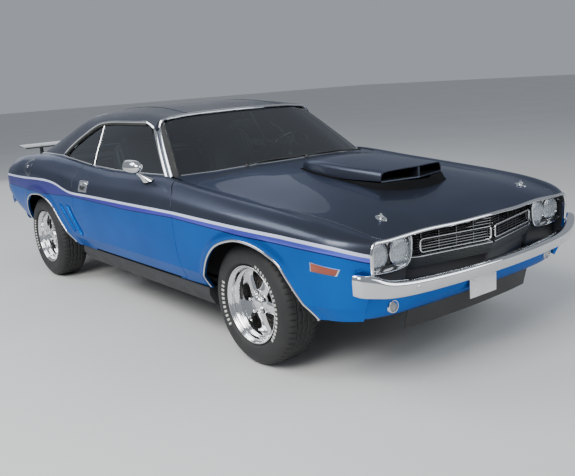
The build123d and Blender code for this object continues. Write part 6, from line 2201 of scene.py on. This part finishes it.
for s_, sg in (("left", 1), ("right", -1)):
    dt = Mesh()
    xs_t = np.linspace(-430, 740, 40)
    rows = []
    for z, iy in ((372, 6), (420, 2), (560, 0), (585, -3), (600, 0), (760, 0), (860, 4), (905, 10), (914, 20)):
        rows.append(np.stack([xs_t, np.full(40, sg * (742.0 + iy)), np.full(40, float(z))], 1))
    dt.grid(np.array(rows), 0)
    ob = dt.obj("door_trim_" + s_, TRIM_VINYL, "door_" + s_, slot="two_tone_paint")
    ar = Mesh()
    ar.tube([(-300, sg * 718, 640), (-200, sg * 708, 652), (0, sg * 706, 656), (120, sg * 712, 664)], [16, 24, 24, 14], m=0, n=16)
    ar.obj("door_armrest_" + s_, TRIM_VINYL, "door_" + s_)

fl = Mesh()
xf = np.linspace(-636, 860, 60)
yf = np.linspace(-730, 730, 61)
zf = lambda y: 250.0 + 154.0 * (1 - smoothstep(104, 150, np.abs(y)))
fl.grid(np.array([[(x, y, float(zf(y)) + 1.5) for y in yf] for x in xf]), 0)
fl.grid(np.array([[(x, y, z) for y in np.linspace(-730, 730, 9)] for x, z in ((864, 252), (862, 500), (860, 690))]), 0)
fl.obj("cabin_carpet", CARPET, "body", slot="black_steel")
shelf = Mesh()
sx = np.linspace(-1638, -1236, 12)
shelf.grid(np.array([[(x, y, 919.0) for y in np.linspace(-672, 672, 21)] for x in sx]), 0)
shelf.obj("parcel_shelf_trim", CARPET, "body", slot="black_steel")


def dress(mat, *names):
    """Gives a CAD node that stays visible its procedural material."""
    for name in names:
        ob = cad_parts[name]
        for k in range(len(ob.material_slots)):
            ob.material_slots[k].material = mat
        if not ob.material_slots:
            ob.data.materials.append(mat)


# the sills take the near-black underseal so that they read as the shadow under the body: painted shade; on the other
# nodes it is underseal
dress(UNDERSEAL_AND_SHADE, "sills", "inner_fenders", "wheel_tubs", "trunk_floor", "cross_walls", "floor_pan")
dress(BLACK_STEEL, "front_suspension", "leaf_springs", "rear_axle", "front_knuckle_left", "front_knuckle_right")
dress(STEEL, "exhaust", "fuel_tank")
dress(IRON, "engine_block")


# =====================================================================
# Camera, lights, floor
# =====================================================================
cam_data = bpy.data.cameras.new("camera")
cam = bpy.data.objects.new("camera", cam_data)
bpy.context.scene.collection.objects.link(cam)
az, el, roll = math.radians(52.396), math.radians(12.4815), math.radians(-3.8513)
back = np.array([math.sin(az) * math.cos(el), -math.cos(az) * math.cos(el), math.sin(el)])
right0 = np.cross([0, 0, 1], back)
right0 /= np.linalg.norm(right0)
up0 = np.cross(back, right0)
right = math.cos(roll) * right0 + math.sin(roll) * up0
upv = -math.sin(roll) * right0 + math.cos(roll) * up0
mw = Matrix.Identity(4)
for i in range(3):
    mw[i][0], mw[i][1], mw[i][2] = right[i], upv[i], back[i]
mw[0][3], mw[1][3], mw[2][3] = 4.4585, -2.8602, 1.4542
cam.matrix_world = mw
cam_data.sensor_width = 36.0
cam_data.lens = 45.303
cam_data.clip_end = 200.0
bpy.context.scene.camera = cam


def area_light(name, loc, target, size, power, colour=(1, 1, 1), size_y=None):
    d = bpy.data.lights.new(name, "AREA")
    d.energy = power
    d.color = colour
    d.size = size
    if size_y:
        d.shape = "RECTANGLE"
        d.size_y = size_y
    o = bpy.data.objects.new(name, d)
    bpy.context.scene.collection.objects.link(o)
    o.location = loc
    o.rotation_euler = (Vector(target) - Vector(loc)).to_track_quat("-Z", "Y").to_euler()
    return o


area_light("key", (3.0, -5.5, 5.5), (0.3, 0, 0.6), 4.0, 600, (1.0, 0.985, 0.96))
area_light("fill", (6.5, 3.0, 3.5), (0.5, 0, 0.6), 4.0, 210, (0.90, 0.95, 1.0))
area_light("top", (-3.4, -4.8, 6.5), (-0.4, 0, 0.5), 4.5, 380, (0.94, 0.97, 1.0))
area_light("rear", (-7.0, 2.5, 3.5), (-0.5, 0, 0.7), 6.0, 90, (0.94, 0.97, 1.0))

world = bpy.data.worlds.new("studio")
world.use_nodes = True
bg = world.node_tree.nodes["Background"]
bg.inputs[0].default_value = (0.80, 0.86, 0.95, 1)
bg.inputs[1].default_value = 0.42
bpy.context.scene.world = world

floor_me = bpy.data.meshes.new("floor")
R = 60.0
floor_me.from_pydata([(-R, -R, 0), (R, -R, 0), (R, R, 0), (-R, R, 0)], [], [(0, 1, 2, 3)])
floor = bpy.data.objects.new("floor", floor_me)
bpy.context.scene.collection.objects.link(floor)
fm, fnt, fb = new_mat("floor_pale")
fn_ = noise_tex(fnt, 0.6, 3.0)
fnt.links.new(mix_col(fnt, map_range(fnt, fn_.outputs[0], 0.3, 0.7, 0, 1), (0.60, 0.60, 0.595), (0.64, 0.64, 0.635)), fb.inputs["Base Color"])
fb.inputs["Roughness"].default_value = 0.75
floor_me.materials.append(fm)
